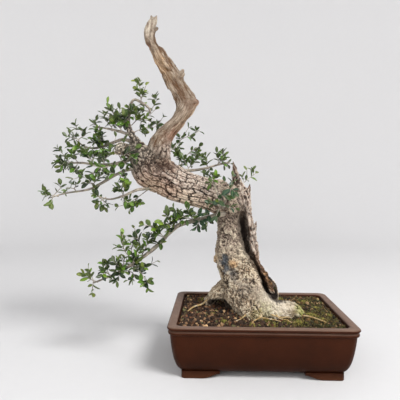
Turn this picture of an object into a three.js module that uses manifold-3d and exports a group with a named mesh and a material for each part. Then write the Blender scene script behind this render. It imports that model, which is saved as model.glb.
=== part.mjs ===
// An olive bonsai in a rectangular brown clay pot.
// The old trunk leans and turns over into a thick limb, which ends in a bare deadwood stem.
// Thin live branches leave the limb and carry sprays of small opposite leaves.
//
// Millimetres, +Z up. Points of the plant are measured from the middle of the pot's underside:
// +X to the right, +Y to the back. The exported group then moves the whole object, so that the
// origin is the middle of its bounding box, at the level it stands on.

import * as THREE from "three";
import { mergeVertices } from "three/addons/utils/BufferGeometryUtils.js";
import Module from "manifold-3d";

const wasm = await Module();
wasm.setup();

// ---- Driving dimensions ----

const GAP = 0.3; // left between pieces that touch
const SLIVER = 0.12; // detail under this size is smoothed away after joins and cuts
const CUT_MARGIN = 2; // how far a cutter reaches past what it cuts

const POT = {
  width: 296,
  depth: 226,
  height: 84,
  corner: 14, // radius of the rim's corners, seen from above
  footHeight: 9,
  floorTop: 17,
  rimWidth: 15, // flat top of the rim, from its outer edge to the cavity
  cavityTaper: 9, // how much further in the cavity's wall is at the floor than at the rim
  straightTop: 3, // how far below the rim the cavity's taper begins
};
// The pot's outside, from its underside to its rim: [inset from the rim's outer edge, z].
const POT_OUTLINE = [
  [28, POT.footHeight],
  [21.4, 10.4],
  [15, 16.6],
  [11.2, 25.6],
  [7.6, 41],
  [5.2, 58],
  [4, 71.2],
  [1.4, 73.4],
  [1.7, 76.2],
  [3.3, 77.6],
  [0, 80.8],
  [0.9, 83.3],
  [3.4, POT.height],
];
const CORNER = {
  steps: 4, // points round each corner of the pot
  sharpening: 0.2, // how much a corner's radius shrinks with its inset
  sharpest: 4, // smallest radius
};
const FOOT = {
  front: 60, // length of the arm along the pot's long side
  side: 45,
  thickness: 15,
  insetX: 22, // from the rim's outer edge
  insetY: 16,
  rise: [[0, 7.5], [8, 5.7], [16, 2.5], [24, 0.5]], // the curve under an arm: distance from its end, height
  riseEnd: 28, // where the curve meets the ground
  sunk: 2, // how far its top is sunk into the pot's body
};
const DRAIN = { radius: 11, offset: 62, sides: 20 }; // two round holes, left and right of the middle
const MESH = { side: 34, thickness: 1 };
const SOIL = {
  edge: 79.5, // its height at the pot's wall
  shoulder: 83.4,
  crown: 86,
  shoulderInset: 36, // from the rim's outer edge
  crownInset: 68,
  middleInset: 98,
};

const TWIG = {
  stalkRadius: 1.1,
  baseRadius: 0.9,
  tipRadius: 0.5,
  forkLength: 6,
  forkPull: 0.7, // twigs whose summed directions are shorter than this agree on no side
  forkDepthWeight: 2, // how much more the fork leans to the front or back than its twigs do
  clearance: 0.5,
};
const LEAF = {
  widthShare: 0.6, // of its length
  foldShare: 0.16, // height of the fold, of its length
  lengthVariation: 0.3,
  spread: 0.95, // angle between leaf and twig at the twig's base, in radians
  tipSpread: 0.5,
  jitter: 0.35,
  lastPair: 0.95, // how far along its stretch of twig a pair stands
};
const BARK = {
  lobes: 0.05, // share by which the wood's outline swells and sinks around it
  lobeCount: 5,
  stemLobeCount: 3,
  twist: 4, // how far the lobes turn round a limb from end to end, in radians
};
// Number of sides of each kind of limb.
const SIDES = { trunk: 14, stem: 10, part: 8, branch: 6, stalk: 4, twig: 3 };

const FIRST_SEED = 101;
const SEED_STEP = 1000;
const SEED_ATTEMPTS = 12;

const FINISH = {
  pot: { color: 0x4a2c20, roughness: 0.55 },
  soil: { color: 0x3b2b1f, roughness: 0.95 },
  mesh: { color: 0x20241f, roughness: 0.7 },
  bark: { color: 0xa08a72, roughness: 0.9 },
  branch: { color: 0x8d7f70, roughness: 0.85 },
  leaf: { color: 0x3c5a2a, roughness: 0.5 },
};

// ---- The wood: each limb is a list of rings [x, y, z, half width, half depth] ----

const TRUNK_AND_LIMB = [
  [-4, -10, 70, 40, 40],
  [-8, -10, 92, 42, 40],
  [-15, -8, 110, 45, 40],
  [-20, -5, 127, 43, 38],
  [-25, -3, 140, 38, 36],
  [-30.5, -1, 154, 36.5, 35],
  [-35, 0, 169, 37, 35],
  [-36, 0, 187, 37, 34],
  [-37, 0, 205, 34.5, 32],
  [-38, 0, 222, 32.5, 30],
  [-40, 0, 240, 31, 29],
  [-48, -2, 262, 31, 28],
  [-67, -4, 278, 29, 27],
  [-92, -6, 286, 27.5, 27],
  [-118, -8, 293, 27.5, 28],
  [-143, -8, 303, 29.5, 30],
  [-166, -6, 315, 31, 31],
  [-188, -4, 328, 32.5, 29],
  [-197, -3, 340, 28, 25.5],
  [-203, -2, 351, 21.5, 21],
  [-211, 0, 366, 14, 14],
  [-219, 2, 382, 7.5, 8.5],
  [-226, 4, 398, 4.8, 5.4],
  [-229, 4, 408, 4.2, 4.2],
];
const DEADWOOD_STEM = [
  [-180, 0, 326, 27, 25],
  [-176, 2, 350, 23, 22],
  [-172, 3, 374, 19.5, 19],
  [-163, 4, 389, 15.5, 16],
  [-153, 5, 400, 12.8, 15],
  [-143, 6, 411, 11.8, 14],
  [-136, 6, 422, 12.2, 13],
  [-130, 6, 433, 15.5, 12.5],
  [-127, 6, 446, 18.5, 12],
  [-133, 5, 459, 17, 12],
  [-141, 4, 472, 15, 12],
  [-148, 2, 485, 15, 12],
  [-155, 0, 498, 14.2, 11.5],
  [-163, -2, 510, 13.6, 11],
  [-171, -3, 522, 11.6, 10],
  [-178, -3, 535, 9.6, 9],
  [-186, -2, 548, 9.4, 8.5],
  [-189, -1, 560, 9.6, 8],
  [-188, 0, 571, 9, 7],
  [-185.5, 1, 580, 6.2, 5.5],
  [-184, 2, 587, 4.6, 4.4],
  [-183, 2, 593, 3.6, 3.6],
];
const LIMB_PARTS = {
  shoulder: [
    [-36, 0, 225, 24, 24],
    [-36, 0, 250, 26, 24],
    [-34, 1, 272, 23, 20],
    [-33, 2, 290, 15, 13],
    [-36, 2, 306, 9, 9],
    [-39, 2, 322, 6, 6],
    [-42, 2, 336, 3, 3],
    [-43.5, 2, 343, 1, 1],
  ],
  smallSpike: [
    [-18, 0, 266, 7, 9],
    [-16, 1, 288, 4.5, 6],
    [-14, 2, 298, 2.6, 3.5],
    [-13.5, 2, 304, 0.9, 1],
  ],
  stub: [
    [-214, -4, 357, 12, 12],
    [-232, -8, 362, 11, 11],
    [-244, -11, 364, 10.5, 10.5],
    [-247, -12, 365, 9, 9],
  ],
  stemNub: [
    [-140, 1, 488, 10, 8],
    [-134, 1, 496, 5, 5],
    [-131, 1, 503, 2, 2],
  ],
  stemKnee: [
    [-128, 5, 446, 16, 11],
    [-110, 5, 446, 8, 7],
    [-104, 5, 448, 3, 3],
  ],
  edgeNub: [
    [-20, 0, 226, 14, 12],
    [-5, 0, 227, 6, 6],
    [-1, 0, 227, 2, 2],
  ],
  leftBulge: [
    [-52, -4, 172, 20, 18],
    [-70, -5, 172, 9, 10],
    [-76, -5, 173, 3, 3],
  ],
  burl: [
    [-38, -20, 170, 17, 14],
    [-44, -34, 171, 9, 8],
    [-45, -39, 171, 4, 4],
  ],
};
const ROOTS = {
  right: [
    [-2, -18, 114, 30, 26],
    [20, -32, 98, 20, 22],
    [38, -38, 90, 18, 18],
    [54, -38, 88, 18, 16],
    [66, -36, 84, 12, 13],
    [75, -34, 77, 6, 7],
  ],
  front: [
    [-18, -18, 112, 34, 24],
    [-14, -38, 98, 24, 18],
    [-10, -52, 86, 18, 13],
    [-6, -64, 76, 9, 8],
  ],
  frontRight: [
    [-4, -24, 112, 28, 22],
    [10, -40, 96, 20, 16],
    [20, -50, 84, 16, 11],
    [26, -57, 74, 8, 7],
  ],
  frontLeft: [
    [-30, -14, 112, 26, 22],
    [-27, -30, 96, 14, 13],
    [-26, -42, 82, 9, 9],
  ],
  leftArch: [
    [-38, 0, 122, 24, 24],
    [-56, 0, 117, 17, 22],
    [-70, 2, 109.5, 11, 20],
    [-79, 8, 101, 8.5, 17],
    [-84, 16, 91, 7, 13],
    [-86, 22, 78, 6, 10],
  ],
  backLeft: [
    [-38, 18, 112, 26, 22],
    [-52, 42, 98, 15, 14],
    [-62, 62, 82, 8, 8],
  ],
  back: [
    [-18, 20, 112, 32, 22],
    [-6, 48, 98, 18, 15],
    [4, 70, 82, 9, 8],
  ],
  backRight: [
    [0, 8, 124, 26, 22],
    [20, 18, 112, 19.5, 18],
    [31, 32, 95, 12, 13],
    [37, 42, 80, 7, 7],
  ],
};
// The open split down the front right of the trunk, as cutters that run from top to bottom.
const SPLIT = [
  [-27, -34, 256, 3.5, 24],
  [-28, -34, 246, 8, 30],
  [-26, -34, 233, 8.8, 34],
  [-24, -34, 219, 8.2, 34],
  [-22, -35, 206, 7.4, 34],
  [-17, -36, 192, 6.8, 34],
  [-9, -36, 179, 5.6, 34],
  [-3, -35, 168, 4.2, 33],
  [2, -32, 155, 3.6, 31],
  [6.5, -29, 143, 3.6, 30],
  [11, -24, 131, 4, 26],
  [16.5, -20, 120.5, 5.5, 20],
  [26, -12, 109, 9, 16],
  [37, -1, 103, 9.5, 15],
  [46, 8, 98, 6, 10],
];
// The hollow under the arched root on the left.
const ROOT_HOLLOW = [
  [-89, -18, 92, 4, 7],
  [-82, -19, 92, 8, 14],
  [-72, -20, 92, 9.5, 17],
  [-60, -21, 92, 9.5, 17],
  [-48, -23, 91, 8, 14],
  [-38, -25, 89, 4, 8],
];

// ---- Live branches: rings [x, y, z, radius], from the wood outwards ----

const BRANCHES = {
  lower_left_branch: [
    [-52, -20, 254, 5],
    [-93, -33, 244, 4.1],
    [-137, -38, 232, 3.6],
    [-171, -42, 199, 3.3],
    [-203, -46, 174, 2.8],
    [-238, -47, 153, 2],
    [-277, -46, 136, 1.2],
  ],
  left_low_branch: [
    [-200, -10, 334, 3.4],
    [-236, -22, 322, 2.6],
    [-270, -29, 302, 2.2],
    [-291, -31, 292, 1.8],
    [-327, -34, 286, 1.4],
    [-354, -36, 278, 0.9],
  ],
  left_middle_branch: [
    [-210, -6, 352, 4],
    [-236, -2, 341, 3.4],
    [-262, 2, 336, 3],
    [-290, 8, 337, 2.4],
    [-318, 14, 340, 1.8],
    [-346, 20, 339, 1.1],
  ],
  left_upper_branch: [
    [-222, 2, 388, 3.2],
    [-246, 8, 396, 2.4],
    [-267, 14, 401, 1.8],
    [-289, 20, 406, 1.1],
  ],
  left_back_branch: [
    [-218, 6, 376, 3.6],
    [-240, 16, 382, 3.1],
    [-263, 26, 377, 2.6],
    [-292, 36, 369, 2.1],
    [-316, 42, 371, 1.6],
    [-336, 48, 384, 1],
  ],
  arched_top_branch: [
    [-229, 4, 402, 4.4],
    [-229, 5, 416, 3.8],
    [-225, 2, 436, 3],
    [-221, 0, 447, 2.5],
    [-214, -2, 449.5, 2.3],
    [-203, -3, 444, 2.3],
    [-192, -1, 436, 2.1],
    [-189, 3, 427, 1.6],
  ],
  elbow_branch: [
    [-172, -10, 298, 3.2],
    [-190, -20, 294, 2.8],
    [-208, -24, 292, 2.4],
    [-230, -28, 282, 1.9],
    [-253, -32, 276, 1.5],
    [-273, -34, 281, 0.9],
  ],
  back_right_branch: [
    [-168, 16, 330, 4.4],
    [-154, 38, 329, 3.6],
    [-128, 50, 328, 3],
    [-100, 57, 331, 2.3],
    [-74, 60, 338, 1.8],
    [-46, 60, 345, 1.1],
  ],
  front_branch: [
    [-58, -18, 260, 3.4],
    [-64, -38, 268, 2.6],
    [-68, -47, 280, 2.1],
    [-74, -50, 296, 1.6],
    [-78, -50, 309, 1.1],
  ],
};

// ---- Sprays: leaf length, the twigs' shared root, then one row for each twig ----
// A twig's row is its number of leaf pairs and the points that it passes, its tip last. A row whose
// first point is on an earlier twig branches off there.

const SPRAYS = {
  lower_tip: [12.5, [-272, -46, 138],
    [2, [-291, -54, 151]],
    [1, [-288, -40, 160]],
    [2, [-282, -40, 117]],
  ],
  lower_outer_left: [12.5, [-248, -47, 148],
    [1, [-259, -36, 168]],
    [1, [-262, -62, 160]],
  ],
  lower_outer_right: [12.5, [-229, -47, 159],
    [2, [-239, -62, 175]],
    [2, [-236, -54, 142]],
    [2, [-227, -34, 176]],
    [2, [-213, -50, 156], [-207, -56, 149], [-219, -58, 143]],
    [1, [-226, -64, 166]],
  ],
  lower_shoot_left: [12.5, [-209, -45, 168],
    [3, [-223, -60, 196], [-225, -64, 222]],
    [1, [-217, -34, 202]],
  ],
  lower_shoot_middle: [13.5, [-196, -45, 179],
    [3, [-201, -36, 202], [-212, -30, 229]],
    [2, [-181, -58, 211]],
  ],
  lower_shoot_down: [13.5, [-214, -46, 165],
    [2, [-193, -30, 162], [-174, -18, 169]],
    [2, [-193, -64, 156], [-182, -68, 134]],
    [2, [-207, -62, 178], [-196, -66, 190]],
  ],
  lower_middle: [13.5, [-156, -41, 214],
    [2, [-172, -52, 230], [-191, -56, 235]],
    [1, [-186, -24, 218]],
    [1, [-164, -56, 205]],
  ],
  lower_inner_a: [15, [-138, -38, 230],
    [2, [-152, -50, 248]],
    [1, [-162, -62, 241]],
    [1, [-146, -64, 234]],
  ],
  lower_inner_b: [13.5, [-127, -36, 235],
    [2, [-145, -22, 260]],
    [1, [-135, -60, 247]],
  ],
  lower_inner_c: [13.5, [-110, -34, 241],
    [2, [-121, -50, 264]],
    [1, [-128, -62, 250]],
  ],
  lower_inner_d: [13.5, [-95, -33, 244],
    [1, [-107, -56, 257]],
    [2, [-106, -46, 228]],
    [1, [-93, -16, 251]],
  ],
  lower_inner_e: [13.5, [-81, -29, 248],
    [1, [-91, -58, 257]],
    [2, [-89, -48, 233]],
  ],
  left_low_tip: [12.5, [-342, -35, 281],
    [2, [-363, -40, 283]],
    [1, [-347, -50, 270]],
    [1, [-340, -22, 295]],
  ],
  left_low_outer: [11.5, [-310, -33, 289],
    [1, [-305, -44, 302]],
    [1, [-328, -26, 296]],
  ],
  left_low_middle: [12.5, [-282, -30, 297],
    [1, [-287, -42, 310]],
    [2, [-266, -38, 317]],
  ],
  left_low_inner: [13.5, [-241, -21, 319],
    [1, [-256, -38, 322]],
    [1, [-221, -36, 310]],
  ],
  left_middle_tip: [12.5, [-334, 18, 340],
    [3, [-365, 16, 340]],
    [1, [-357, 30, 327]],
    [1, [-358, 34, 359]],
  ],
  left_middle_outer: [12.5, [-318, 14, 340],
    [2, [-331, 4, 357]],
    [1, [-324, -2, 323]],
  ],
  left_middle_centre: [13.5, [-295, 9, 338],
    [2, [-302, -4, 356]],
    [2, [-291, 22, 356]],
  ],
  left_middle_inner: [15, [-272, 4, 336],
    [2, [-283, 18, 354]],
    [2, [-256, -16, 357]],
  ],
  left_inner: [13.5, [-257, 0, 335],
    [3, [-274, -22, 324], [-295, -28, 316], [-318, -26, 310]],
    [2, [-264, -34, 329], [-279, -42, 332]],
  ],
  left_front: [15, [-240, -4, 346],
    [2, [-224, -34, 353], [-207, -42, 361]],
    [2, [-224, -34, 353], [-206, -42, 342]],
    [1, [-228, -36, 372]],
    [2, [-223, -34, 332]],
    [2, [-246, -28, 366], [-242, -34, 382]],
  ],
  left_upper_tip: [12.5, [-277, 18, 403],
    [2, [-297, 28, 412]],
    [2, [-284, 8, 391]],
  ],
  left_upper_middle: [12.5, [-260, 13, 399],
    [2, [-270, 4, 417]],
    [2, [-257, 32, 420]],
  ],
  left_upper_high: [15, [-240, 6, 395],
    [3, [-249, -4, 417], [-261, -10, 441]],
    [2, [-245, 10, 437]],
    [1, [-265, -16, 424]],
  ],
  left_back_inner: [12.5, [-284, 34, 372],
    [2, [-282, 20, 389]],
    [1, [-281, 52, 364]],
    [2, [-298, 26, 384]],
    [2, [-294, 58, 380]],
  ],
  left_back_outer: [12.5, [-316, 43, 371],
    [2, [-344, 36, 372]],
    [1, [-322, 62, 363]],
  ],
  left_back_tip: [12.5, [-330, 46, 380],
    [2, [-357, 58, 393]],
    [3, [-315, 40, 397], [-338, 36, 407]],
  ],
  top_shoot: [11.5, [-205, -3, 444],
    [3, [-207, -2, 461], [-206, -5, 481]],
    [1, [-196, -1, 475]],
  ],
  top_inner: [13.5, [-228, 5, 415],
    [2, [-218, -10, 430]],
    [2, [-232, -16, 407]],
  ],
  top_arch_tip: [12.5, [-190, 1, 430],
    [2, [-211, 4, 433]],
  ],
  top_right: [12.5, [-226, 6, 405],
    [2, [-213, 14, 418], [-196, 20, 425], [-182, 22, 438]],
    [1, [-196, 20, 425], [-179, 16, 453]],
    [1, [-213, 14, 418], [-188, 28, 417]],
  ],
  top_right_low: [12.5, [-223, 7, 393],
    [2, [-205, 18, 402], [-184, 28, 407], [-170, 32, 425]],
    [1, [-205, 18, 402], [-181, 44, 416]],
  ],
  elbow_tip: [12.5, [-261, -33, 278],
    [2, [-279, -28, 285]],
    [1, [-270, -44, 270]],
    [1, [-260, -24, 268]],
  ],
  elbow_middle: [13.5, [-231, -28, 281],
    [1, [-243, -20, 300]],
    [1, [-225, -42, 295]],
    [1, [-232, -16, 273]],
  ],
  elbow_low: [12.5, [-191, -4, 293],
    [2, [-209, -12, 279], [-224, -15, 269], [-245, -12, 262]],
    [1, [-209, -12, 279], [-222, -22, 257]],
  ],
  back_right_inner: [12.5, [-125, 51, 327],
    [1, [-132, 38, 347]],
    [2, [-107, 68, 353]],
  ],
  back_right_middle: [13.5, [-93, 58, 332],
    [2, [-92, 50, 357]],
    [1, [-80, 70, 320]],
  ],
  back_right_outer: [12.5, [-71, 60, 339],
    [2, [-71, 72, 363]],
    [2, [-56, 52, 357]],
    [2, [-44, 70, 342]],
  ],
  back_upper: [12.5, [-162, 20, 355],
    [2, [-149, 40, 371], [-137, 50, 387], [-124, 50, 409]],
    [1, [-137, 50, 387], [-103, 66, 404]],
    [1, [-149, 40, 371], [-141, 56, 369]],
  ],
  back_middle: [12.5, [-156, 22, 331],
    [2, [-136, 44, 341], [-124, 54, 361], [-103, 60, 375]],
    [2, [-136, 44, 341], [-147, 42, 360]],
    [1, [-124, 54, 361], [-111, 72, 359]],
  ],
  front_low: [13.5, [-65, -43, 269],
    [2, [-83, -58, 272]],
    [1, [-41, -54, 262]],
    [1, [-73, -54, 250]],
  ],
  front_middle: [15, [-70, -49, 284],
    [1, [-69, -70, 275]],
    [1, [-56, -64, 283]],
  ],
  front_top: [13.5, [-77, -50, 302],
    [1, [-83, -40, 303]],
    [2, [-73, -58, 314]],
  ],
  front_right: [13.5, [-60, -33, 266],
    [2, [-55, -46, 281], [-49, -48, 296], [-59, -54, 307]],
    [1, [-49, -48, 296], [-43, -56, 290]],
    [1, [-49, -48, 296], [-45, -36, 316]],
  ],
  spike_shoot: [12.5, [-33, 12, 299],
    [1, [-18, 26, 310], [-17, 22, 328]],
    [1, [-18, 26, 310], [1, 36, 323]],
  ],
};

// ---- Solids ----

function solidOf(geometry) {
  geometry.deleteAttribute("normal");
  geometry.deleteAttribute("uv");
  const merged = mergeVertices(geometry, 1e-4);
  return new wasm.Manifold(
    new wasm.Mesh({
      numProp: 3,
      vertProperties: new Float32Array(merged.attributes.position.array),
      triVerts: new Uint32Array(merged.index.array),
    }),
  );
}

function geometryOf(solid) {
  const { vertProperties, triVerts } = solid.getMesh();
  const geometry = new THREE.BufferGeometry()
    .setAttribute("position", new THREE.BufferAttribute(vertProperties, 3))
    .setIndex(new THREE.BufferAttribute(triVerts, 1));
  geometry.computeVertexNormals();
  return geometry;
}

const joined = (solids) => solids.reduce((whole, part) => whole.add(part));
const cut = (solid, cutters) => cutters.reduce((left, cutter) => left.subtract(cutter), solid);

// Joins and cuts leave slivers and offcuts: the slivers are merged into their neighbours, and only
// the largest body is kept.
function oneBody(solid) {
  const bodies = solid.asOriginal().simplify(SLIVER).decompose();
  return bodies.reduce((a, b) => (b.volume() > a.volume() ? b : a));
}

function boxesMeet(a, b) {
  const [p, q] = [a.boundingBox(), b.boundingBox()];
  return [0, 1, 2].every((k) => p.min[k] <= q.max[k] && q.min[k] <= p.max[k]);
}

const touches = (solid, others) =>
  others.some((other) => boxesMeet(solid, other) && solid.intersect(other).volume() > 0);

// A closed cylinder whose vertices are moved by place(angle, share of the way from end to end).
function shapedCylinder(sides, steps, place) {
  const geometry = new THREE.CylinderGeometry(1, 1, 1, sides, steps);
  const positions = geometry.attributes.position;
  const point = new THREE.Vector3();
  for (let i = 0; i < positions.count; i++) {
    point.fromBufferAttribute(positions, i);
    const onAxis = Math.hypot(point.x, point.z) < 0.5;
    const angle = onAxis ? null : Math.atan2(point.x, point.z);
    positions.setXYZ(i, ...place(angle, point.y + 0.5));
  }
  return solidOf(geometry);
}

// Two directions square to a limb's run: the first stays in the XZ plane where it can.
function acrossRun(run) {
  const alongY = Math.abs(run.y) > 0.95;
  const reference = alongY ? new THREE.Vector3(0, 0, 1) : new THREE.Vector3(0, 1, 0);
  const deep = reference.addScaledVector(run, -reference.dot(run)).normalize();
  const wide = new THREE.Vector3().crossVectors(deep, run);
  return { wide, deep };
}

// A limb through rings [x, y, z, half width, half depth]; the half depth may be left out.
// lobes gives the share by which its outline swells and sinks around it.
function limb(rings, { sides, grow = 0, lobes = 0, lobeCount = BARK.lobeCount }) {
  const path = new THREE.CatmullRomCurve3(rings.map(([x, y, z]) => new THREE.Vector3(x, y, z)));
  const last = rings.length - 1;
  const radiiAt = (share) => {
    const i = Math.min(Math.floor(share * last), last - 1);
    const f = share * last - i;
    const [width, width2] = [rings[i][3], rings[i + 1][3]];
    const [depth, depth2] = [rings[i][4] ?? width, rings[i + 1][4] ?? width2];
    return [THREE.MathUtils.lerp(width, width2, f) + grow, THREE.MathUtils.lerp(depth, depth2, f) + grow];
  };
  return shapedCylinder(sides, last, (angle, share) => {
    const centre = path.getPoint(share);
    const run = path.getTangent(share);
    const step = Math.round(share * last);
    if (step === 0) centre.addScaledVector(run, -grow);
    if (step === last) centre.addScaledVector(run, grow);
    if (angle === null) return centre.toArray();
    const { wide, deep } = acrossRun(run);
    const [width, depth] = radiiAt(share);
    const swell = 1 + lobes * Math.sin(lobeCount * angle + BARK.twist * share);
    return centre
      .addScaledVector(wide, Math.cos(angle) * width * swell)
      .addScaledVector(deep, Math.sin(angle) * depth * swell)
      .toArray();
  });
}

// A body with a rounded rectangle for each [inset from the rim's outer edge, z] of its profile.
function roundedRectangleBody(profile, cornerRadius) {
  const sides = 4 * CORNER.steps;
  const last = profile.length - 1;
  return shapedCylinder(sides, last, (angle, share) => {
    const [inset, z] = profile[Math.round(share * last)];
    if (angle === null) return [0, 0, z];
    const index = Math.round((angle / (2 * Math.PI)) * sides + sides) % sides;
    const quarter = Math.floor(index / CORNER.steps);
    const radius = Math.max(cornerRadius - inset * CORNER.sharpening, CORNER.sharpest);
    const centreX = POT.width / 2 - inset - radius;
    const centreY = POT.depth / 2 - inset - radius;
    const turn = (Math.PI / 2) * (quarter + (index % CORNER.steps) / (CORNER.steps - 1));
    const signX = quarter === 0 || quarter === 3 ? 1 : -1;
    const signY = quarter < 2 ? 1 : -1;
    return [signX * centreX + radius * Math.cos(turn), signY * centreY + radius * Math.sin(turn), z];
  });
}

function box(width, depth, bottom, top, x = 0, y = 0) {
  const geometry = new THREE.BoxGeometry(width, depth, top - bottom);
  geometry.translate(x, y, (bottom + top) / 2);
  return solidOf(geometry);
}

// ---- The pot ----

function potFoot(signX, signY) {
  const outerX = POT.width / 2 - FOOT.insetX;
  const outerY = POT.depth / 2 - FOOT.insetY;
  const inner = FOOT.thickness;
  // Seen from below, an L whose two arms follow the pot's edges.
  const outline = new THREE.Shape([
    new THREE.Vector2(outerX, outerY),
    new THREE.Vector2(outerX - FOOT.front, outerY),
    new THREE.Vector2(outerX - FOOT.front, outerY - inner),
    new THREE.Vector2(outerX - inner, outerY - inner),
    new THREE.Vector2(outerX - inner, outerY - FOOT.side),
    new THREE.Vector2(outerX, outerY - FOOT.side),
  ]);
  const depth = POT.footHeight + FOOT.sunk;
  const foot = solidOf(new THREE.ExtrudeGeometry(outline, { depth, bevelEnabled: false }));
  // Each arm rises towards its end in a curve, so the foot is shorter where it stands.
  const underRise = () => {
    const before = -CUT_MARGIN;
    const corners = [[before, before], [before, FOOT.rise[0][1]], ...FOOT.rise, [FOOT.riseEnd, before]];
    const curve = new THREE.Shape(corners.map(([along, z]) => new THREE.Vector2(along, z)));
    const reach = inner + CUT_MARGIN;
    const cutter = new THREE.ExtrudeGeometry(curve, { depth: 2 * reach, bevelEnabled: false });
    return cutter.rotateX(Math.PI / 2).translate(0, reach, 0);
  };
  const frontRise = underRise().translate(outerX - FOOT.front, outerY, 0);
  const sideRise = underRise().rotateZ(Math.PI / 2).translate(outerX, outerY - FOOT.side, 0);
  const shaped = cut(foot, [solidOf(frontRise), solidOf(sideRise)]);
  if (signX < 0 && signY < 0) return shaped.rotate([0, 0, 180]);
  if (signX < 0) return shaped.mirror([1, 0, 0]);
  return signY < 0 ? shaped.mirror([0, 1, 0]) : shaped;
}

function drainHole(x) {
  const reach = POT.floorTop + CUT_MARGIN;
  const geometry = new THREE.CylinderGeometry(DRAIN.radius, DRAIN.radius, 2 * reach, DRAIN.sides);
  geometry.rotateX(Math.PI / 2);
  geometry.translate(x, 0, POT.floorTop);
  return solidOf(geometry);
}

function pot() {
  const outside = roundedRectangleBody(POT_OUTLINE, POT.corner);
  const cavity = roundedRectangleBody(
    [
      [POT.rimWidth + POT.cavityTaper, POT.floorTop],
      [POT.rimWidth, POT.height - POT.straightTop],
      [POT.rimWidth, POT.height + CUT_MARGIN],
    ],
    POT.corner,
  );
  const feet = [potFoot(1, 1), potFoot(-1, 1), potFoot(-1, -1), potFoot(1, -1)];
  const holes = [drainHole(-DRAIN.offset), drainHole(DRAIN.offset)];
  return cut(joined([outside, ...feet]), [cavity, ...holes]);
}

const drainageMesh = (x, grow = 0) =>
  box(
    MESH.side + 2 * grow,
    MESH.side + 2 * grow,
    POT.floorTop + GAP - grow,
    POT.floorTop + GAP + MESH.thickness + grow,
    x,
  );

function soil(cutters) {
  const wallInset = POT.rimWidth + GAP;
  const body = roundedRectangleBody(
    [
      [wallInset + POT.cavityTaper, POT.floorTop + GAP],
      [wallInset + GAP, SOIL.edge],
      [SOIL.shoulderInset, SOIL.shoulder],
      [SOIL.crownInset, SOIL.crown],
      [SOIL.middleInset, SOIL.crown],
    ],
    POT.corner,
  );
  return oneBody(cut(body, cutters));
}

// ---- The plant ----

function trunk(grow) {
  const parts = [
    limb(TRUNK_AND_LIMB, { sides: SIDES.trunk, grow, lobes: BARK.lobes }),
    limb(DEADWOOD_STEM, { sides: SIDES.stem, grow, lobes: BARK.lobes, lobeCount: BARK.stemLobeCount }),
    ...Object.values(LIMB_PARTS).map((rings) => limb(rings, { sides: SIDES.part, grow })),
    ...Object.values(ROOTS).map((rings) => limb(rings, { sides: SIDES.part, grow })),
  ];
  const hollows = [SPLIT, ROOT_HOLLOW].map((rings) => limb(rings, { sides: SIDES.part, grow: -grow }));
  return oneBody(cut(joined(parts), hollows));
}

const branch = (rings, grow) => limb(rings, { sides: SIDES.branch, grow });

// Pseudo-random numbers from 0 to 1 that are the same on every run.
function numbers(seed) {
  const multiplier = 16807;
  const modulus = 2 ** 31 - 1;
  let state = seed;
  return () => {
    state = (state * multiplier) % modulus;
    return state / modulus;
  };
}

// A folded blade: a tetrahedron whose lower edge is the midrib and whose upper edge is its width.
function leafBlade(base, run, across, length, grow) {
  const fold = length * LEAF.foldShare + 2 * grow;
  const width = length * LEAF.widthShare + 2 * grow;
  const blade = new THREE.TetrahedronGeometry(Math.sqrt(3));
  const up = new THREE.Vector3().crossVectors(run, across);
  const middle = base.clone().addScaledVector(run, length / 2);
  const frame = new THREE.Matrix4().makeBasis(
    run.clone().multiplyScalar((length + 2 * grow) / 2 / Math.SQRT2),
    across.clone().multiplyScalar(width / 2 / Math.SQRT2),
    up.clone().multiplyScalar(fold / 2),
  );
  blade.rotateZ(Math.PI / 4);
  blade.applyMatrix4(frame.setPosition(middle));
  return solidOf(blade);
}

// The leaves of one twig stand in opposite pairs, each pair turned a quarter from the last, and
// the last pair at its tip.
function twigLeaves(path, pairs, leafLength, random) {
  const leaves = [];
  const wander = () => (random() - 0.5) * 2 * LEAF.jitter;
  const addLeaf = (share, turn, spread) => {
    const run = path.getTangent(share);
    const { wide, deep } = acrossRun(run);
    const out = wide.multiplyScalar(Math.cos(turn)).addScaledVector(deep, Math.sin(turn));
    const direction = run.clone().multiplyScalar(Math.cos(spread)).addScaledVector(out, Math.sin(spread));
    const across = new THREE.Vector3().crossVectors(out, run).normalize();
    const length = leafLength * (1 + LEAF.lengthVariation * (random() - 0.5));
    leaves.push({ base: path.getPoint(share), direction, across, length });
  };
  const turnAtBase = random() * Math.PI;
  for (let i = 0; i < 2 * pairs; i++) {
    const pair = Math.floor(i / 2);
    const share = (pair + LEAF.lastPair) / pairs;
    const turn = turnAtBase + (pair * Math.PI) / 2 + (i % 2) * Math.PI + wander();
    const spread = THREE.MathUtils.lerp(LEAF.spread, LEAF.tipSpread, share) + wander() / 2;
    addLeaf(share, turn, spread);
  }
  return leaves;
}

// Where a spray's twigs part: a little way out of the branch, on the side that most of them take.
function forkPoint(root, twigs) {
  const start = new THREE.Vector3(...root);
  const toward = new THREE.Vector3();
  for (const [, firstPoint] of twigs) {
    toward.add(new THREE.Vector3(...firstPoint).sub(start).normalize());
  }
  toward.y *= TWIG.forkDepthWeight;
  if (toward.length() < TWIG.forkPull) toward.y = toward.y > 0 ? 1 : -1;
  return start.addScaledVector(toward.normalize(), TWIG.forkLength).toArray();
}

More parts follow.
